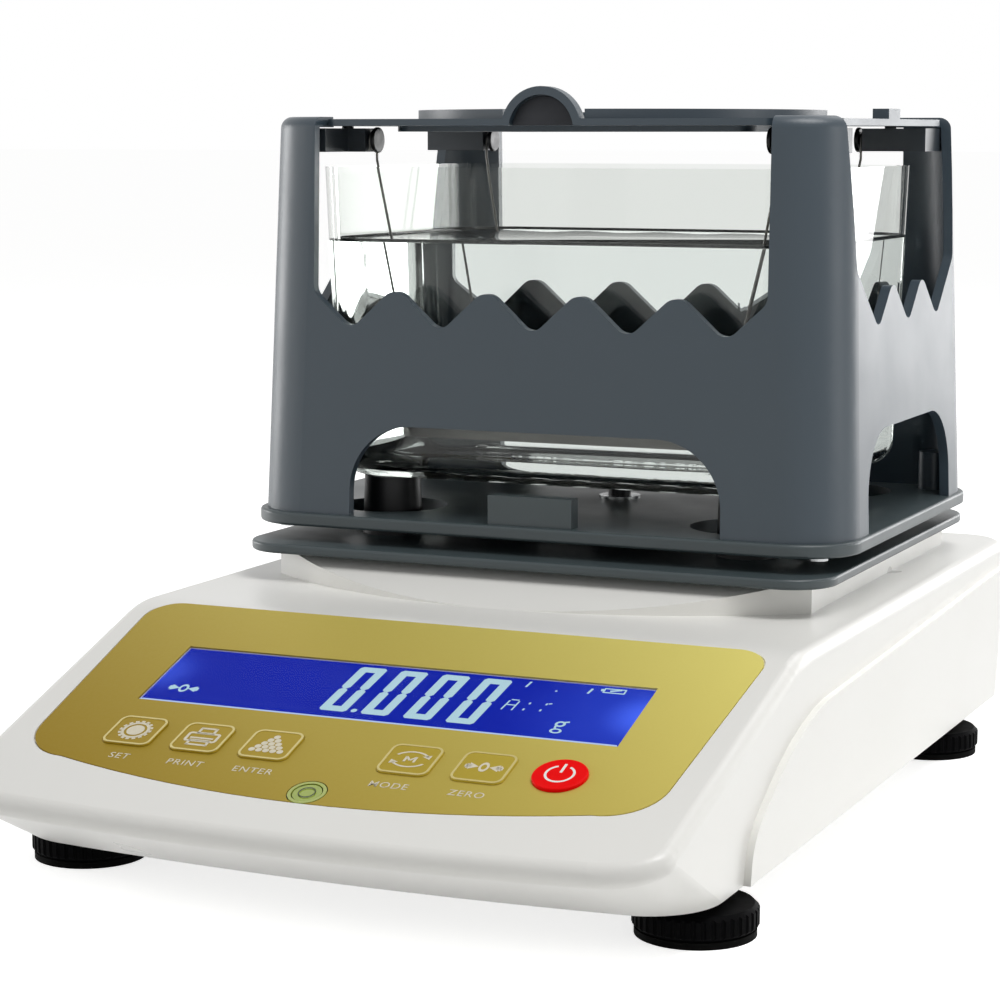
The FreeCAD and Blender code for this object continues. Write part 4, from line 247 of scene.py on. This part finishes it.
def lit_finish(name, tone, strength):
    """A surface that glows by itself through a slightly uneven diffuser."""
    material, tree, place, output = empty_material(name)
    flecks = add_node(tree, "ShaderNodeTexNoise", {"Scale": 1 / (FLECK * MM), "Detail": 1.0}, {"Vector": place})
    power = add_node(tree, "ShaderNodeMapRange", {"To Min": strength * 0.94, "To Max": strength * 1.06},
                     {"Value": flecks.outputs[0]})
    shader = add_node(tree, "ShaderNodeBsdfPrincipled",
                      {"Base Color": linear("0A0A10"), "Roughness": 0.5, "Specular IOR Level": 0.0,
                       "Emission Color": linear(tone)},
                      {"Emission Strength": power.outputs[0]})
    tree.links.new(shader.outputs[0], output.inputs["Surface"])
    return material


# Liquid-crystal segments that let the back light through: pale cyan.
segment_light = lit_finish("open_lcd_segment", "AECFDA", 1.0)
# The cut edge of the window, where the back light leaks out.
edge_light = lit_finish("back_light_leak", "B9CDF6", 0.9)

# ---------------------------------------------------------------- places

FACE_TILT = math.radians(18.5)
FACE = (Matrix.Translation((0, -63.5 * MM, 63.3 * MM)) @ Matrix.Rotation(FACE_TILT, 4, "X")
        @ Matrix.Scale(MM, 4))   # millimetres on the sloping face: x across, y up the slope, z off the face


def face_height(node):
    """How far a node stands off the sloping face, in millimetres."""
    inverse = FACE.inverted()
    return max((inverse @ v.co).z for v in nodes[node].data.vertices)


def lit_display():
    """The back-lit blue display: lamps at both ends make the blue brighter there."""
    material, tree, place, output = empty_material("back_lit_blue_lcd")
    glow = None
    for side, strength, reach in ((-1, 0.5, 16), (1, 0.75, 15), (1, 0.3, 46)):
        lamp = FACE @ Vector((side * 71.5, -37, -0.6))
        away = add_node(tree, "ShaderNodeVectorMath", {1: lamp}, {0: place}, operation="DISTANCE")
        near = add_node(tree, "ShaderNodeMapRange",
                        {"From Min": 0.0, "From Max": reach * MM, "To Min": strength, "To Max": 0.0},
                        {"Value": away.outputs["Value"]}, interpolation_type="SMOOTHERSTEP")
        glow = near if glow is None else add_node(tree, "ShaderNodeMath", {}, {0: glow.outputs[0],
                                                                                1: near.outputs[0]}, operation="ADD")
    cells = add_node(tree, "ShaderNodeTexNoise", {"Scale": 1 / (14 * MM), "Detail": 2.0}, {"Vector": place})
    blue = add_node(tree, "ShaderNodeMix", {6: linear("0D1E9C"), 7: linear("1426A5")}, {0: cells.outputs[0]},
                    data_type="RGBA")
    shown = add_node(tree, "ShaderNodeMix", {7: linear("4464F0")}, {0: glow.outputs[0], 6: blue.outputs[2]},
                     data_type="RGBA")
    shader = add_node(tree, "ShaderNodeBsdfPrincipled",
                      {"Base Color": linear("080A1C"), "Roughness": 0.5, "Specular IOR Level": 0.0,
                       "Emission Strength": 1.0},
                      {"Emission Color": shown.outputs[2]})
    tree.links.new(shader.outputs[0], output.inputs["Surface"])
    return material


lcd_blue = lit_display()

# ---------------------------------------------------------------- carried-over nodes

FINISHES = {
    white_abs: ["top_cover"],
    grey_abs: ["base_pan"],
    gold_film: ["panel_overlay"],
    gold_dome: ["key_set", "key_print", "key_enter", "key_mode", "key_zero"],
    red_dome: ["power_button"],
    slate_abs: ["cage_frame", "top_tray", "tray_ring", "tray_rim"],
    # the hook arms' darker slate is painted shade
    slate_arm_painted_shade: ["hook_arm_front_left", "hook_arm_front_right", "hook_arm_back_left", "hook_arm_back_right"],
    slate_plate: ["tank_base_plate", "weighing_plate"],
    foot_nylon: ["foot_wheel_front_left", "foot_wheel_front_right", "foot_wheel_back_left",
                 "foot_wheel_back_right"],
    pad_rubber: ["foot_pad_front_left", "foot_pad_front_right", "foot_pad_back_left", "foot_pad_back_right"],
    black_abs: ["tank_pillar_front_left", "tank_pillar_front_right", "tank_pillar_back_left",
                "tank_pillar_back_right", "lcd_holder", "key_switches", "dc_jack"],
    black_steel: ["hook_knobs", "pan_screw"],
    # the basket wire's darker steel is painted shade
    wire_steel_painted_shade: ["hung_basket"],
    steel: ["pan_washer", "serial_port", "base_plate_screws", "cage_screws", "cover_screws",
            "overload_stops", "battery_clamp"],
    aluminium: ["pan_spider", "load_cell", "load_cell_block"],
    brass: ["foot_nuts"],
    board_epoxy: ["main_board"],
    battery_vinyl: ["battery_pack"],
    lcd_blue: ["lcd_glass"],
    window_acrylic: ["lcd_window"],
    tank_styrene: ["water_tank"],
    vial_acrylic: ["level_cup"],
    level_spirit: ["level_liquid"],
    bubble_air: ["level_bubble"],
}
for finish, names in FINISHES.items():
    for name in names:
        nodes[name].data.materials.clear()
        nodes[name].data.materials.append(finish)

# ---------------------------------------------------------------- making pieces


def make_piece(name, bm, material, body, place=None, stands_for=(), smooth=None):
    """Turns a bmesh into a piece in its place that rides on a body."""
    if place is not None:
        bmesh.ops.transform(bm, matrix=place, verts=bm.verts)
    mesh = bpy.data.meshes.new(name)
    bm.to_mesh(mesh)
    bm.free()
    mesh.materials.append(material)
    if smooth is not None:
        mesh.shade_smooth()
        mesh.set_sharp_from_angle(angle=math.radians(smooth))
    piece = bpy.data.objects.new(name, mesh)
    bpy.context.scene.collection.objects.link(piece)
    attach(piece, body)
    if stands_for:
        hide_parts(*stands_for)


def pour(source, bm):
    """Adds one bmesh to another and frees the first."""
    scratch = bpy.data.meshes.new("scratch")
    source.to_mesh(scratch)
    source.free()
    bm.from_mesh(scratch)
    bpy.data.meshes.remove(scratch)


def raise_ink(bm, low, high):
    """Gives flat marks, drawn at height 0, their thin body between two heights."""
    bmesh.ops.remove_doubles(bm, verts=bm.verts, dist=1e-5)
    bmesh.ops.recalc_face_normals(bm, faces=bm.faces)
    for face in bm.faces:
        if face.normal.z < 0:
            face.normal_flip()
    top = bmesh.ops.extrude_face_region(bm, geom=bm.faces[:])
    lifted = [v for v in top["geom"] if isinstance(v, bmesh.types.BMVert)]
    bmesh.ops.translate(bm, verts=bm.verts, vec=(0, 0, low))
    bmesh.ops.translate(bm, verts=lifted, vec=(0, 0, high - low))
    bmesh.ops.recalc_face_normals(bm, faces=bm.faces)


def bar(bm, start, end, width):
    """A flat stroke from start to end."""
    a, b = Vector(start), Vector(end)
    along = b - a
    place = (Matrix.Translation(((a + b) / 2).to_3d())
             @ Matrix.Rotation(math.atan2(along.y, along.x), 4, "Z")
             @ Matrix.Diagonal((along.length, width, 1, 1)))
    bmesh.ops.create_grid(bm, x_segments=1, y_segments=1, size=0.5, matrix=place)


def ring(bm, centre, outer, inner, start_deg=0.0, sweep_deg=360.0, steps=48):
    """A flat ring, or an arc of one, spun round its centre."""
    a = math.radians(start_deg)
    out = Vector((math.cos(a), math.sin(a), 0))
    hub = Vector(centre).to_3d()
    edge = bm.edges.new([bm.verts.new(hub + out * inner), bm.verts.new(hub + out * outer)])
    bmesh.ops.spin(bm, geom=[*edge.verts, edge], cent=hub, axis=(0, 0, 1), angle=math.radians(sweep_deg),
                   steps=max(3, round(steps * abs(sweep_deg) / 360)), use_merge=abs(sweep_deg) > 359)


def dot(bm, centre, radius, corners=24, turn_deg=0.0):
    """A flat disc, or a flat polygon of few corners."""
    place = Matrix.Translation(Vector(centre).to_3d()) @ Matrix.Rotation(math.radians(turn_deg), 4, "Z")
    bmesh.ops.create_circle(bm, cap_ends=True, segments=corners, radius=radius, matrix=place)


def outline(bm, centre, wide, high, corner, line):
    """A rounded rectangle drawn as a line."""
    drawing = bmesh.new()
    bmesh.ops.create_grid(drawing, x_segments=1, y_segments=1, size=0.5,
                          matrix=Matrix.Translation(Vector(centre).to_3d()) @ Matrix.Diagonal((wide, high, 1, 1)))
    bmesh.ops.bevel(drawing, geom=drawing.verts[:], offset=corner, offset_type="OFFSET", segments=6,
                    profile=0.5, affect="VERTICES", material=-1)
    bmesh.ops.inset_region(drawing, faces=drawing.faces[:], thickness=line, use_even_offset=True,
                           use_boundary=True)
    middle = min(drawing.faces, key=lambda f: (f.calc_center_median() - Vector(centre).to_3d()).length)
    bmesh.ops.delete(drawing, geom=[middle], context="FACES_ONLY")
    pour(drawing, bm)


def add_marks(bm, marks, centre, stretch=(1, 1)):
    """Adds flat marks, drawn round the middle, at a place and stretched."""
    bmesh.ops.transform(marks, verts=marks.verts, matrix=Matrix.Translation(Vector(centre).to_3d())
                        @ Matrix.Diagonal((*stretch, 1, 1)))
    pour(marks, bm)


def word(text, high, centre, spacing, weight):
    """Lettering as a flat bmesh: its capitals are high millimetres tall, and it is centred."""
    curve = bpy.data.curves.new("scratch", "FONT")
    curve.body = text
    curve.size = high / 0.7
    curve.space_character = spacing
    curve.offset = weight
    curve.align_x, curve.align_y = "CENTER", "CENTER"
    curve.resolution_u = 4
    letters = bpy.data.objects.new("scratch", curve)
    mesh = bpy.data.meshes.new_from_object(letters)
    bm = bmesh.new()
    bm.from_mesh(mesh)
    bmesh.ops.translate(bm, verts=bm.verts, vec=Vector(centre).to_3d())
    bpy.data.objects.remove(letters)
    bpy.data.curves.remove(curve)
    bpy.data.meshes.remove(mesh)
    return bm


# ---------------------------------------------------------------- display

WINDOW_MIDDLE = (0, -38.2)             # on the sloping face, in millimetres like all that follows
WINDOW_WIDE, WINDOW_HIGH = 138.4, 28.9
GLASS_TOP = -0.65      # height of the liquid-crystal picture under the film, in millimetres
PRINT_LOW, PRINT_HIGH = 0.02, 0.05    # foot and top of printed ink above what it is printed on
LEAN = 0.075           # how far the digits lean for each millimetre of their height


def window_layers():
    """The clear window is a bright cover with the lit display bonded close behind it."""
    cover = bmesh.new()
    bmesh.ops.create_cube(cover, size=1.0, matrix=Matrix.Translation((*WINDOW_MIDDLE, -0.35))
                          @ Matrix.Diagonal((WINDOW_WIDE, WINDOW_HIGH, 0.3, 1)))
    make_piece("lcd_window.cover", cover, window_acrylic, "housing", FACE, ("lcd_window",))
    picture = bmesh.new()
    bmesh.ops.create_cube(picture, size=1.0, matrix=Matrix.Translation((*WINDOW_MIDDLE, GLASS_TOP - 0.45))
                          @ Matrix.Diagonal((WINDOW_WIDE, WINDOW_HIGH, 0.9, 1)))
    make_piece("lcd_window.picture", picture, lcd_blue, "housing", FACE)
    leak = bmesh.new()
    bar(leak, (-69.0, -52.35), (69.0, -52.35), 0.5)
    raise_ink(leak, GLASS_TOP - 0.02, -0.12)
    make_piece("lcd_window.lit_edge", leak, edge_light, "housing", FACE)


def segment(bm, start, end, width):
    """One display segment: a bar with mitred ends."""
    a, b = Vector(start), Vector(end)
    along = b - a
    shape = bmesh.new()
    bmesh.ops.create_grid(shape, x_segments=1, y_segments=1, size=0.5,
                          matrix=Matrix.Diagonal((along.length, width, 1, 1)))
    bmesh.ops.bevel(shape, geom=shape.verts[:], offset=width * 0.3, offset_type="OFFSET", segments=1,
                    profile=0.5, affect="VERTICES", material=-1)
    bmesh.ops.transform(shape, matrix=Matrix.Translation(((a + b) / 2).to_3d())
                        @ Matrix.Rotation(math.atan2(along.y, along.x), 4, "Z"), verts=shape.verts)
    pour(shape, bm)


def lean_over(bm, level):
    """Leans flat marks over to the right above a level."""
    bmesh.ops.transform(bm, verts=bm.verts, matrix=Matrix(((1, LEAN, 0, -LEAN * level), (0, 1, 0, 0),
                                                          (0, 0, 1, 0), (0, 0, 0, 1))))


def digits():
    """Four zeros of six lit segments each, with the point after the first."""
    ink = bmesh.new()
    low, high, line = -48.5, -25.2, 2.6
    for left in (-16.9, -4.7, 7.6, 19.8):
        right = left + 8.0
        x0, x1, y0, y1 = left + line / 2, right - line / 2, low + line / 2, high - line / 2
        middle, gap = (low + high) / 2, 0.05
        segment(ink, (left, y0), (right, y0), line)
        segment(ink, (left, y1), (right, y1), line)
        for x in (x0, x1):
            segment(ink, (x, y0 - 0.2), (x, middle - gap), line)
            segment(ink, (x, middle + gap), (x, y1 + 0.2), line)
    dot(ink, (-6.9, -47.4), 0.85, 16)
    lean_over(ink, low)
    raise_ink(ink, GLASS_TOP + PRINT_LOW, GLASS_TOP + PRINT_HIGH)
    make_piece("lcd_digits", ink, segment_light, "housing", FACE)


def small_marks():
    """Zero sign, unit and the few small segments that stay lit."""
    ink = bmesh.new()
    nought = bmesh.new()
    ring(nought, (0, 0), 1.5, 0.85, steps=24)
    add_marks(ink, nought, (-59.9, -44.6), (0.95, 1.35))
    for side in (-1, 1):
        dot(ink, (-59.9 + side * 3.0, -44.6), 1.7, 3, 90 * side)
        bar(ink, (-59.9 + side * 3.2, -44.6), (-59.9 + side * 4.5, -44.6), 1.6)
    # capital A and two columns of points beside it
    for a, b in (((32.1, -39.8), (32.7, -35.1)), ((35.0, -39.8), (35.4, -35.1)), ((33.0, -34.6), (35.2, -34.6)),
                 ((32.5, -37.2), (35.1, -37.2))):
        bar(ink, a, b, 0.42)
    for x, y in ((38.0, -39.3), (38.5, -36.1), (42.6, -39.0), (43.1, -35.8)):
        bar(ink, (x, y), (x + 0.1, y + 0.9), 0.5)
    bar(ink, (43.6, -35.1), (44.5, -34.8), 0.5)
    # a stroke, a point and another stroke of the small upper row
    bar(ink, (34.1, -27.7), (34.6, -24.9), 0.6)
    dot(ink, (43.0, -28.4), 0.35, 8)
    bar(ink, (51.7, -28.2), (52.2, -25.6), 0.65)
    # battery sign
    outline(ink, (58.4, -25.9), 6.2, 2.4, 0.3, 0.45)
    bar(ink, (54.6, -25.9), (55.3, -25.7), 1.1)
    bar(ink, (57.2, -26.1), (60.2, -25.1), 0.7)
    raise_ink(ink, GLASS_TOP + PRINT_LOW, GLASS_TOP + PRINT_HIGH)
    make_piece("lcd_small_marks", ink, segment_light, "housing", FACE)
    unit = bmesh.new()
    upper, lower = bmesh.new(), bmesh.new()
    ring(upper, (0, 0), 1.45, 0.75, steps=28)
    ring(lower, (0, 0), 1.45, 0.85, steps=28)
    add_marks(unit, upper, (50.5, -44.2), (1.0, 0.95))
    add_marks(unit, lower, (50.5, -47.6), (1.15, 0.8))
    bar(unit, (49.6, -45.2), (49.9, -46.7), 0.6)
    bar(unit, (51.4, -43.2), (52.6, -42.8), 0.6)
    raise_ink(unit, GLASS_TOP + PRINT_LOW, GLASS_TOP + PRINT_HIGH)
    make_piece("lcd_unit", unit, segment_light, "housing", FACE)


window_layers()
digits()
small_marks()

# ---------------------------------------------------------------- keys

KEYS = {"key_set": -60.5, "key_print": -40.2, "key_enter": -19.9, "key_mode": 19.9, "key_zero": 40.2}
WELT_LOW, WELT_HIGH = -0.22, -0.04     # the pressed line round each key, just below the film's face
ROW = -69.2            # height of the row of keys on the face


def gear_sign(ink, x, y):
    """A dial inside a ring with sixteen short teeth round it."""
    ring(ink, (x, y), 4.0, 3.15, steps=48)
    dot(ink, (x, y), 2.45, 32)
    for i in range(16):
        a = math.radians(22.5 * i)
        bar(ink, (x + 3.8 * math.cos(a), y + 3.8 * math.sin(a)),
            (x + 4.7 * math.cos(a), y + 4.7 * math.sin(a)), 1.0)


def printer_sign(ink, x, y):
    """A printer: body with rounded corners, the sheet above it and the tray below."""
    outline(ink, (x, y - 0.1), 9.6, 4.6, 1.0, 0.8)
    outline(ink, (x, y + 3.1), 5.2, 3.0, 0.2, 0.75)
    outline(ink, (x, y - 2.7), 6.4, 2.9, 0.2, 0.75)
    bar(ink, (x - 3.4, y - 0.5), (x + 3.4, y - 0.5), 0.7)


def heap_sign(ink, x, y):
    """A heap of beads, five along its foot."""
    for row in range(5):
        for i in range(5 - row):
            dot(ink, (x + (i - (4 - row) / 2) * 2.05, y - 3.0 + row * 1.65), 0.92, 14)


def mode_sign(ink, x, y):
    """Two arrows that chase each other round a small letter."""
    for side in (0, 180):
        start = 28 + side
        arrow = bmesh.new()
        ring(arrow, (0, 0), 4.6, 3.95, start, 124, 40)
        tip = math.radians(start)
        dot(arrow, (4.27 * math.cos(tip), 4.27 * math.sin(tip)), 1.35, 3, start - 180)
        add_marks(ink, arrow, (x, y), (1.12, 0.82))
    bar(ink, (x - 1.35, y - 1.25), (x - 1.35, y + 1.25), 0.65)
    bar(ink, (x + 1.35, y - 1.25), (x + 1.35, y + 1.25), 0.65)
    bar(ink, (x - 1.3, y + 1.15), (x, y - 0.5), 0.6)
    bar(ink, (x + 1.3, y + 1.15), (x, y - 0.5), 0.6)


def zero_sign(ink, x, y):
    """A nought between two arrows that point at it."""
    nought = bmesh.new()
    ring(nought, (0, 0), 1.75, 0.95, steps=28)
    add_marks(ink, nought, (x, y), (0.75, 1.25))
    for side in (-1, 1):
        dot(ink, (x + side * 3.2, y), 1.75, 3, 90 * side)
        bar(ink, (x + side * 3.4, y), (x + side * 5.2, y), 1.3)
        bar(ink, (x + side * 4.5, y - 1.1), (x + side * 4.5, y + 1.1), 0.5)


SIGNS = {"key_set": gear_sign, "key_print": printer_sign, "key_enter": heap_sign,
         "key_mode": mode_sign, "key_zero": zero_sign}
WORDS = {"key_set": "SET", "key_print": "PRINT", "key_enter": "ENTER", "key_mode": "MODE", "key_zero": "ZERO"}

WORD_PLACES = {"key_set": -58.6, "key_print": -39.0, "key_enter": -19.15, "key_mode": 19.25, "key_zero": 40.5}

for key, x in KEYS.items():
    body = nodes[key]["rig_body"]
    top = face_height(key)
    sign = bmesh.new()
    SIGNS[key](sign, x, ROW)
    raise_ink(sign, top + PRINT_LOW, top + PRINT_HIGH)
    make_piece(key + ".sign", sign, pale_ink, body, FACE)
    welt = bmesh.new()
    outline(welt, (x, ROW), 15.3, 14.5, 2.9, 0.42)
    raise_ink(welt, WELT_LOW, WELT_HIGH)
    make_piece(key + ".welt", welt, gold_film, "housing", FACE)
    border = bmesh.new()
    outline(border, (x, ROW), 14.2, 13.4, 2.5, 0.6)
    raise_ink(border, top - 0.05, top + 0.12)
    # the border's pale gold is a painted highlight
    make_piece(key + ".border", border, border_painted_highlight, body, FACE)
    label = word(WORDS[key], 2.5, (WORD_PLACES[key], -81.2), spacing=1.12, weight=0.008)
    raise_ink(label, PRINT_LOW, PRINT_HIGH)
    make_piece(key + ".word", label, pale_ink, "housing", FACE)

power_top = face_height("power_button")
welt = bmesh.new()
ring(welt, (60.6, ROW), 7.55, 7.15, steps=64)
raise_ink(welt, WELT_LOW, WELT_HIGH)
make_piece("power_button.welt", welt, gold_film, "housing", FACE)
power = bmesh.new()
ring(power, (60.6, ROW), 3.95, 3.3, 116, 308, 64)
bar(power, (60.6, ROW + 0.6), (60.6, ROW + 4.6), 0.72)
raise_ink(power, power_top + PRINT_LOW, power_top + PRINT_HIGH)
make_piece("power_button.sign", power, white_ink, nodes["power_button"]["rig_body"], FACE)

# ---------------------------------------------------------------- spirit level

LEVEL = (0.0, -88.0)
level_top = face_height("level_cup")
rings = bmesh.new()
ring(rings, LEVEL, 2.3, 2.0, steps=40)
raise_ink(rings, level_top + 0.02, level_top + 0.06)
make_piece("level_cup.ring", rings, dark_ring, "housing", FACE)

# ---------------------------------------------------------------- finger tab

tray_low, tray_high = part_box("top_tray")
TAB_RADIUS, TAB_RECESS = 12.6, 2.8   # outside of the finger tab and how deep its face is sunk, in millimetres


def tab_inlay():
    """Dark inlay at the bottom of the finger tab's recess, cut off level with the tray: painted shade for the
    recess.
    """
    face = bmesh.new()
    middle = Vector((0, tray_low.y / MM + TAB_RECESS, tray_high.z / MM - TAB_RADIUS))
    bmesh.ops.create_circle(face, cap_ends=True, segments=64, radius=TAB_RADIUS - 2.75,
                            matrix=Matrix.Translation(middle) @ Matrix.Rotation(math.pi / 2, 4, "X"))
    bmesh.ops.bisect_plane(face, geom=face.verts[:] + face.edges[:] + face.faces[:],
                           plane_co=(0, 0, tray_low.z / MM + 0.1), plane_no=(0, 0, -1), clear_outer=True)
    body = bmesh.ops.extrude_face_region(face, geom=face.faces[:])
    front = [v for v in body["geom"] if isinstance(v, bmesh.types.BMVert)]
    bmesh.ops.translate(face, verts=front, vec=(0, -0.8, 0))
    bmesh.ops.recalc_face_normals(face, faces=face.faces)
    rim = [e for e in face.edges if all(abs(v.co.y - middle.y + 0.8) < 1e-4 for v in e.verts)]
    bmesh.ops.bevel(face, geom=rim, offset=0.3, offset_type="OFFSET", segments=2, profile=0.5,
                    affect="EDGES", material=-1)
    make_piece("top_tray.tab_inlay", face, inlay_painted_shade, "tray", Matrix.Scale(MM, 4), smooth=35)


tab_inlay()

# ---------------------------------------------------------------- water

WATER_LEVEL = 165.5
TANK_DRAFT = 3.0       # how much narrower the tank is at its foot, each side


def tank_filling():
    """The water: the tank's inner shape up to the water line, drawn up a little where it meets the wall."""
    low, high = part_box("water_tank")
    floor = low.z / MM + 3.0
    wide, deep = (high.x - low.x) / MM / 2, (high.y - low.y) / MM / 2
    middle = (high.y + low.y) / MM / 2
    lean = TANK_DRAFT / (high.z / MM - low.z / MM)
    bm = bmesh.new()
    half = (WATER_LEVEL - floor) / 2
    wall = 2.3
    bmesh.ops.create_cube(bm, size=2.0, matrix=Matrix.Translation((0, middle, floor + half))
                          @ Matrix.Diagonal((wide - wall, deep - wall, half, 1)))
    upright = [e for e in bm.edges if abs(e.verts[0].co.z - e.verts[1].co.z) > 1]
    bmesh.ops.bevel(bm, geom=upright, offset=16.6, offset_type="OFFSET", segments=16, profile=0.5,
                    affect="EDGES", material=-1)
    foot = [e for e in bm.edges if all(v.co.z < floor + 0.01 for v in e.verts)]
    bmesh.ops.bevel(bm, geom=foot, offset=6.0, offset_type="OFFSET", segments=10, profile=0.5,
                    affect="EDGES", material=-1)
    surface = max((f for f in bm.faces if f.normal.z > 0.99), key=lambda f: f.calc_area())
    bmesh.ops.inset_region(bm, faces=[surface], thickness=1.4, use_even_offset=True, use_boundary=True)
    bmesh.ops.translate(bm, verts=surface.verts[:], vec=(0, 0, -0.7))
    for v in bm.verts:
        inward = lean * (high.z / MM - v.co.z)
        v.co.x *= 1 - inward / wide
        v.co.y = middle + (v.co.y - middle) * (1 - inward / deep)
    bmesh.ops.recalc_face_normals(bm, faces=bm.faces)
    make_piece("water", bm, water_clear, "tank", Matrix.Scale(MM, 4), smooth=30)


tank_filling()


def water_rim():
    """The rim where the water climbs the wall: a thin dark band round the inside of the tank, painted shade for the
    dark line the water's edge shows.
    """
    low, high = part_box("water_tank")
    wide, deep = (high.x - low.x) / MM / 2, (high.y - low.y) / MM / 2
    middle = (high.y + low.y) / MM / 2
    inward = TANK_DRAFT / (high.z / MM - low.z / MM) * (high.z / MM - WATER_LEVEL)
    band = bmesh.new()
    bmesh.ops.create_cube(band, size=2.0, matrix=Matrix.Translation((0, middle, WATER_LEVEL - 0.1))
                          @ Matrix.Diagonal((wide - 2.62 - inward, deep - 2.62 - inward, 0.5, 1)))
    upright = [e for e in band.edges if abs(e.verts[0].co.z - e.verts[1].co.z) > 0.5]
    bmesh.ops.bevel(band, geom=upright, offset=16.4, offset_type="OFFSET", segments=16, profile=0.5,
                    affect="EDGES", material=-1)
    caps = [f for f in band.faces if abs(f.normal.z) > 0.9]
    bmesh.ops.delete(band, geom=caps, context="FACES_ONLY")
    bmesh.ops.solidify(band, geom=band.faces[:], thickness=0.45)
    bmesh.ops.recalc_face_normals(band, faces=band.faces)
    make_piece("water.rim", band, water_edge, "tank", Matrix.Scale(MM, 4), smooth=40)


water_rim()

# ---------------------------------------------------------------- room, lights and camera


def seen_directly(tree):
    """1 where the eye looks straight, by a glossy surface or through glass, and 0 for all other light."""
    path = add_node(tree, "ShaderNodeLightPath")
    seen = path.outputs["Is Camera Ray"]
    for ray in ("Is Glossy Ray", "Is Transmission Ray"):
        seen = add_node(tree, "ShaderNodeMath", {}, {0: seen, 1: path.outputs[ray]}, operation="MAXIMUM").outputs[0]
    return seen


def shown_white(name, grey, strength):
    """A pale studio surface: it takes shadows, and shows as white to the eye, in gloss and through glass."""
    material, tree, place, output = empty_material(name)
    speckle = add_node(tree, "ShaderNodeTexNoise", {"Scale": 1 / (60 * MM)}, {"Vector": place})
    tone = add_node(tree, "ShaderNodeMix", {6: linear(grey), 7: linear("EDEDEC")}, {0: speckle.outputs[0]},
                    data_type="RGBA")
    matt = add_node(tree, "ShaderNodeBsdfDiffuse", {}, {"Color": tone.outputs[2]})
    glow = add_node(tree, "ShaderNodeEmission", {"Color": (1, 1, 1, 1), "Strength": strength})
    both = add_node(tree, "ShaderNodeAddShader", {}, {0: matt.outputs[0], 1: glow.outputs[0]})
    chosen = add_node(tree, "ShaderNodeMixShader", {}, {0: seen_directly(tree), 1: matt.outputs[0],
                                                        2: both.outputs[0]})
    tree.links.new(chosen.outputs[0], output.inputs["Surface"])
    return material


floor_mesh = bmesh.new()
bmesh.ops.create_grid(floor_mesh, x_segments=4, y_segments=4, size=30.0)
floor_data = bpy.data.meshes.new("studio_floor")
floor_mesh.to_mesh(floor_data)
floor_mesh.free()
floor_data.materials.append(shown_white("matt_white_sweep", "F2F2F1", 0.75))
studio_floor = bpy.data.objects.new("studio_floor", floor_data)
bpy.context.scene.collection.objects.link(studio_floor)

world = bpy.data.worlds.new("soft_white_room")
bpy.context.scene.world = world
world.use_nodes = True
sky = world.node_tree
sky.nodes.clear()
room = add_node(sky, "ShaderNodeBackground", {"Color": (1, 1, 1, 1), "Strength": 0.27})
seen_room = add_node(sky, "ShaderNodeBackground", {"Color": (1, 1, 1, 1), "Strength": 1.0})
either = add_node(sky, "ShaderNodeMixShader", {}, {0: seen_directly(sky), 1: room.outputs[0],
                                                   2: seen_room.outputs[0]})
add_node(sky, "ShaderNodeOutputWorld", {}, {"Surface": either.outputs[0]})


def soft_box(name, place, aim, size, power):
    """A square studio light, turned to a point."""
    lamp = bpy.data.lights.new(name, "AREA")
    lamp.shape, lamp.size, lamp.energy = "SQUARE", size, power
    holder = bpy.data.objects.new(name, lamp)
    bpy.context.scene.collection.objects.link(holder)
    holder.location = place
    holder.rotation_euler = (Vector(aim) - Vector(place)).to_track_quat("-Z", "Y").to_euler()


soft_box("right_soft_box", (1.5, 0.15, 0.3), (0, 0.03, 0.1), 0.5, 2.2)
soft_box("near_right_soft_box", (0.32, -0.12, 0.8), (0.05, -0.05, 0.05), 0.4, 3.6)
soft_box("rim_soft_box", (0.62, 1.5, 0.22), (0.08, 0.06, 0.1), 0.7, 7)
soft_box("back_soft_box", (0.35, 1.35, 1.5), (0, 0, 0.08), 0.9, 4)
soft_box("left_soft_box", (-1.5, 0.15, 0.2), (-0.08, 0.03, 0.12), 0.6, 7)
soft_box("front_soft_box", (-1.3, -0.9, 0.4), (0, 0, 0.08), 0.9, 2.6)

camera_data = bpy.data.cameras.new("camera")
camera_data.lens, camera_data.sensor_width, camera_data.sensor_fit = 95.65, 36, "AUTO"
camera = bpy.data.objects.new("camera", camera_data)
bpy.context.scene.collection.objects.link(camera)
camera.location = (0.3074, -0.7134, 0.1969)
CAMERA_DOWN, CAMERA_ROUND = 0.13667, 0.42287   # radians below level and round to the left
camera.rotation_euler = (math.pi / 2 - CAMERA_DOWN, 0, CAMERA_ROUND)
bpy.context.scene.camera = camera
bpy.context.scene.view_settings.view_transform = "Standard"
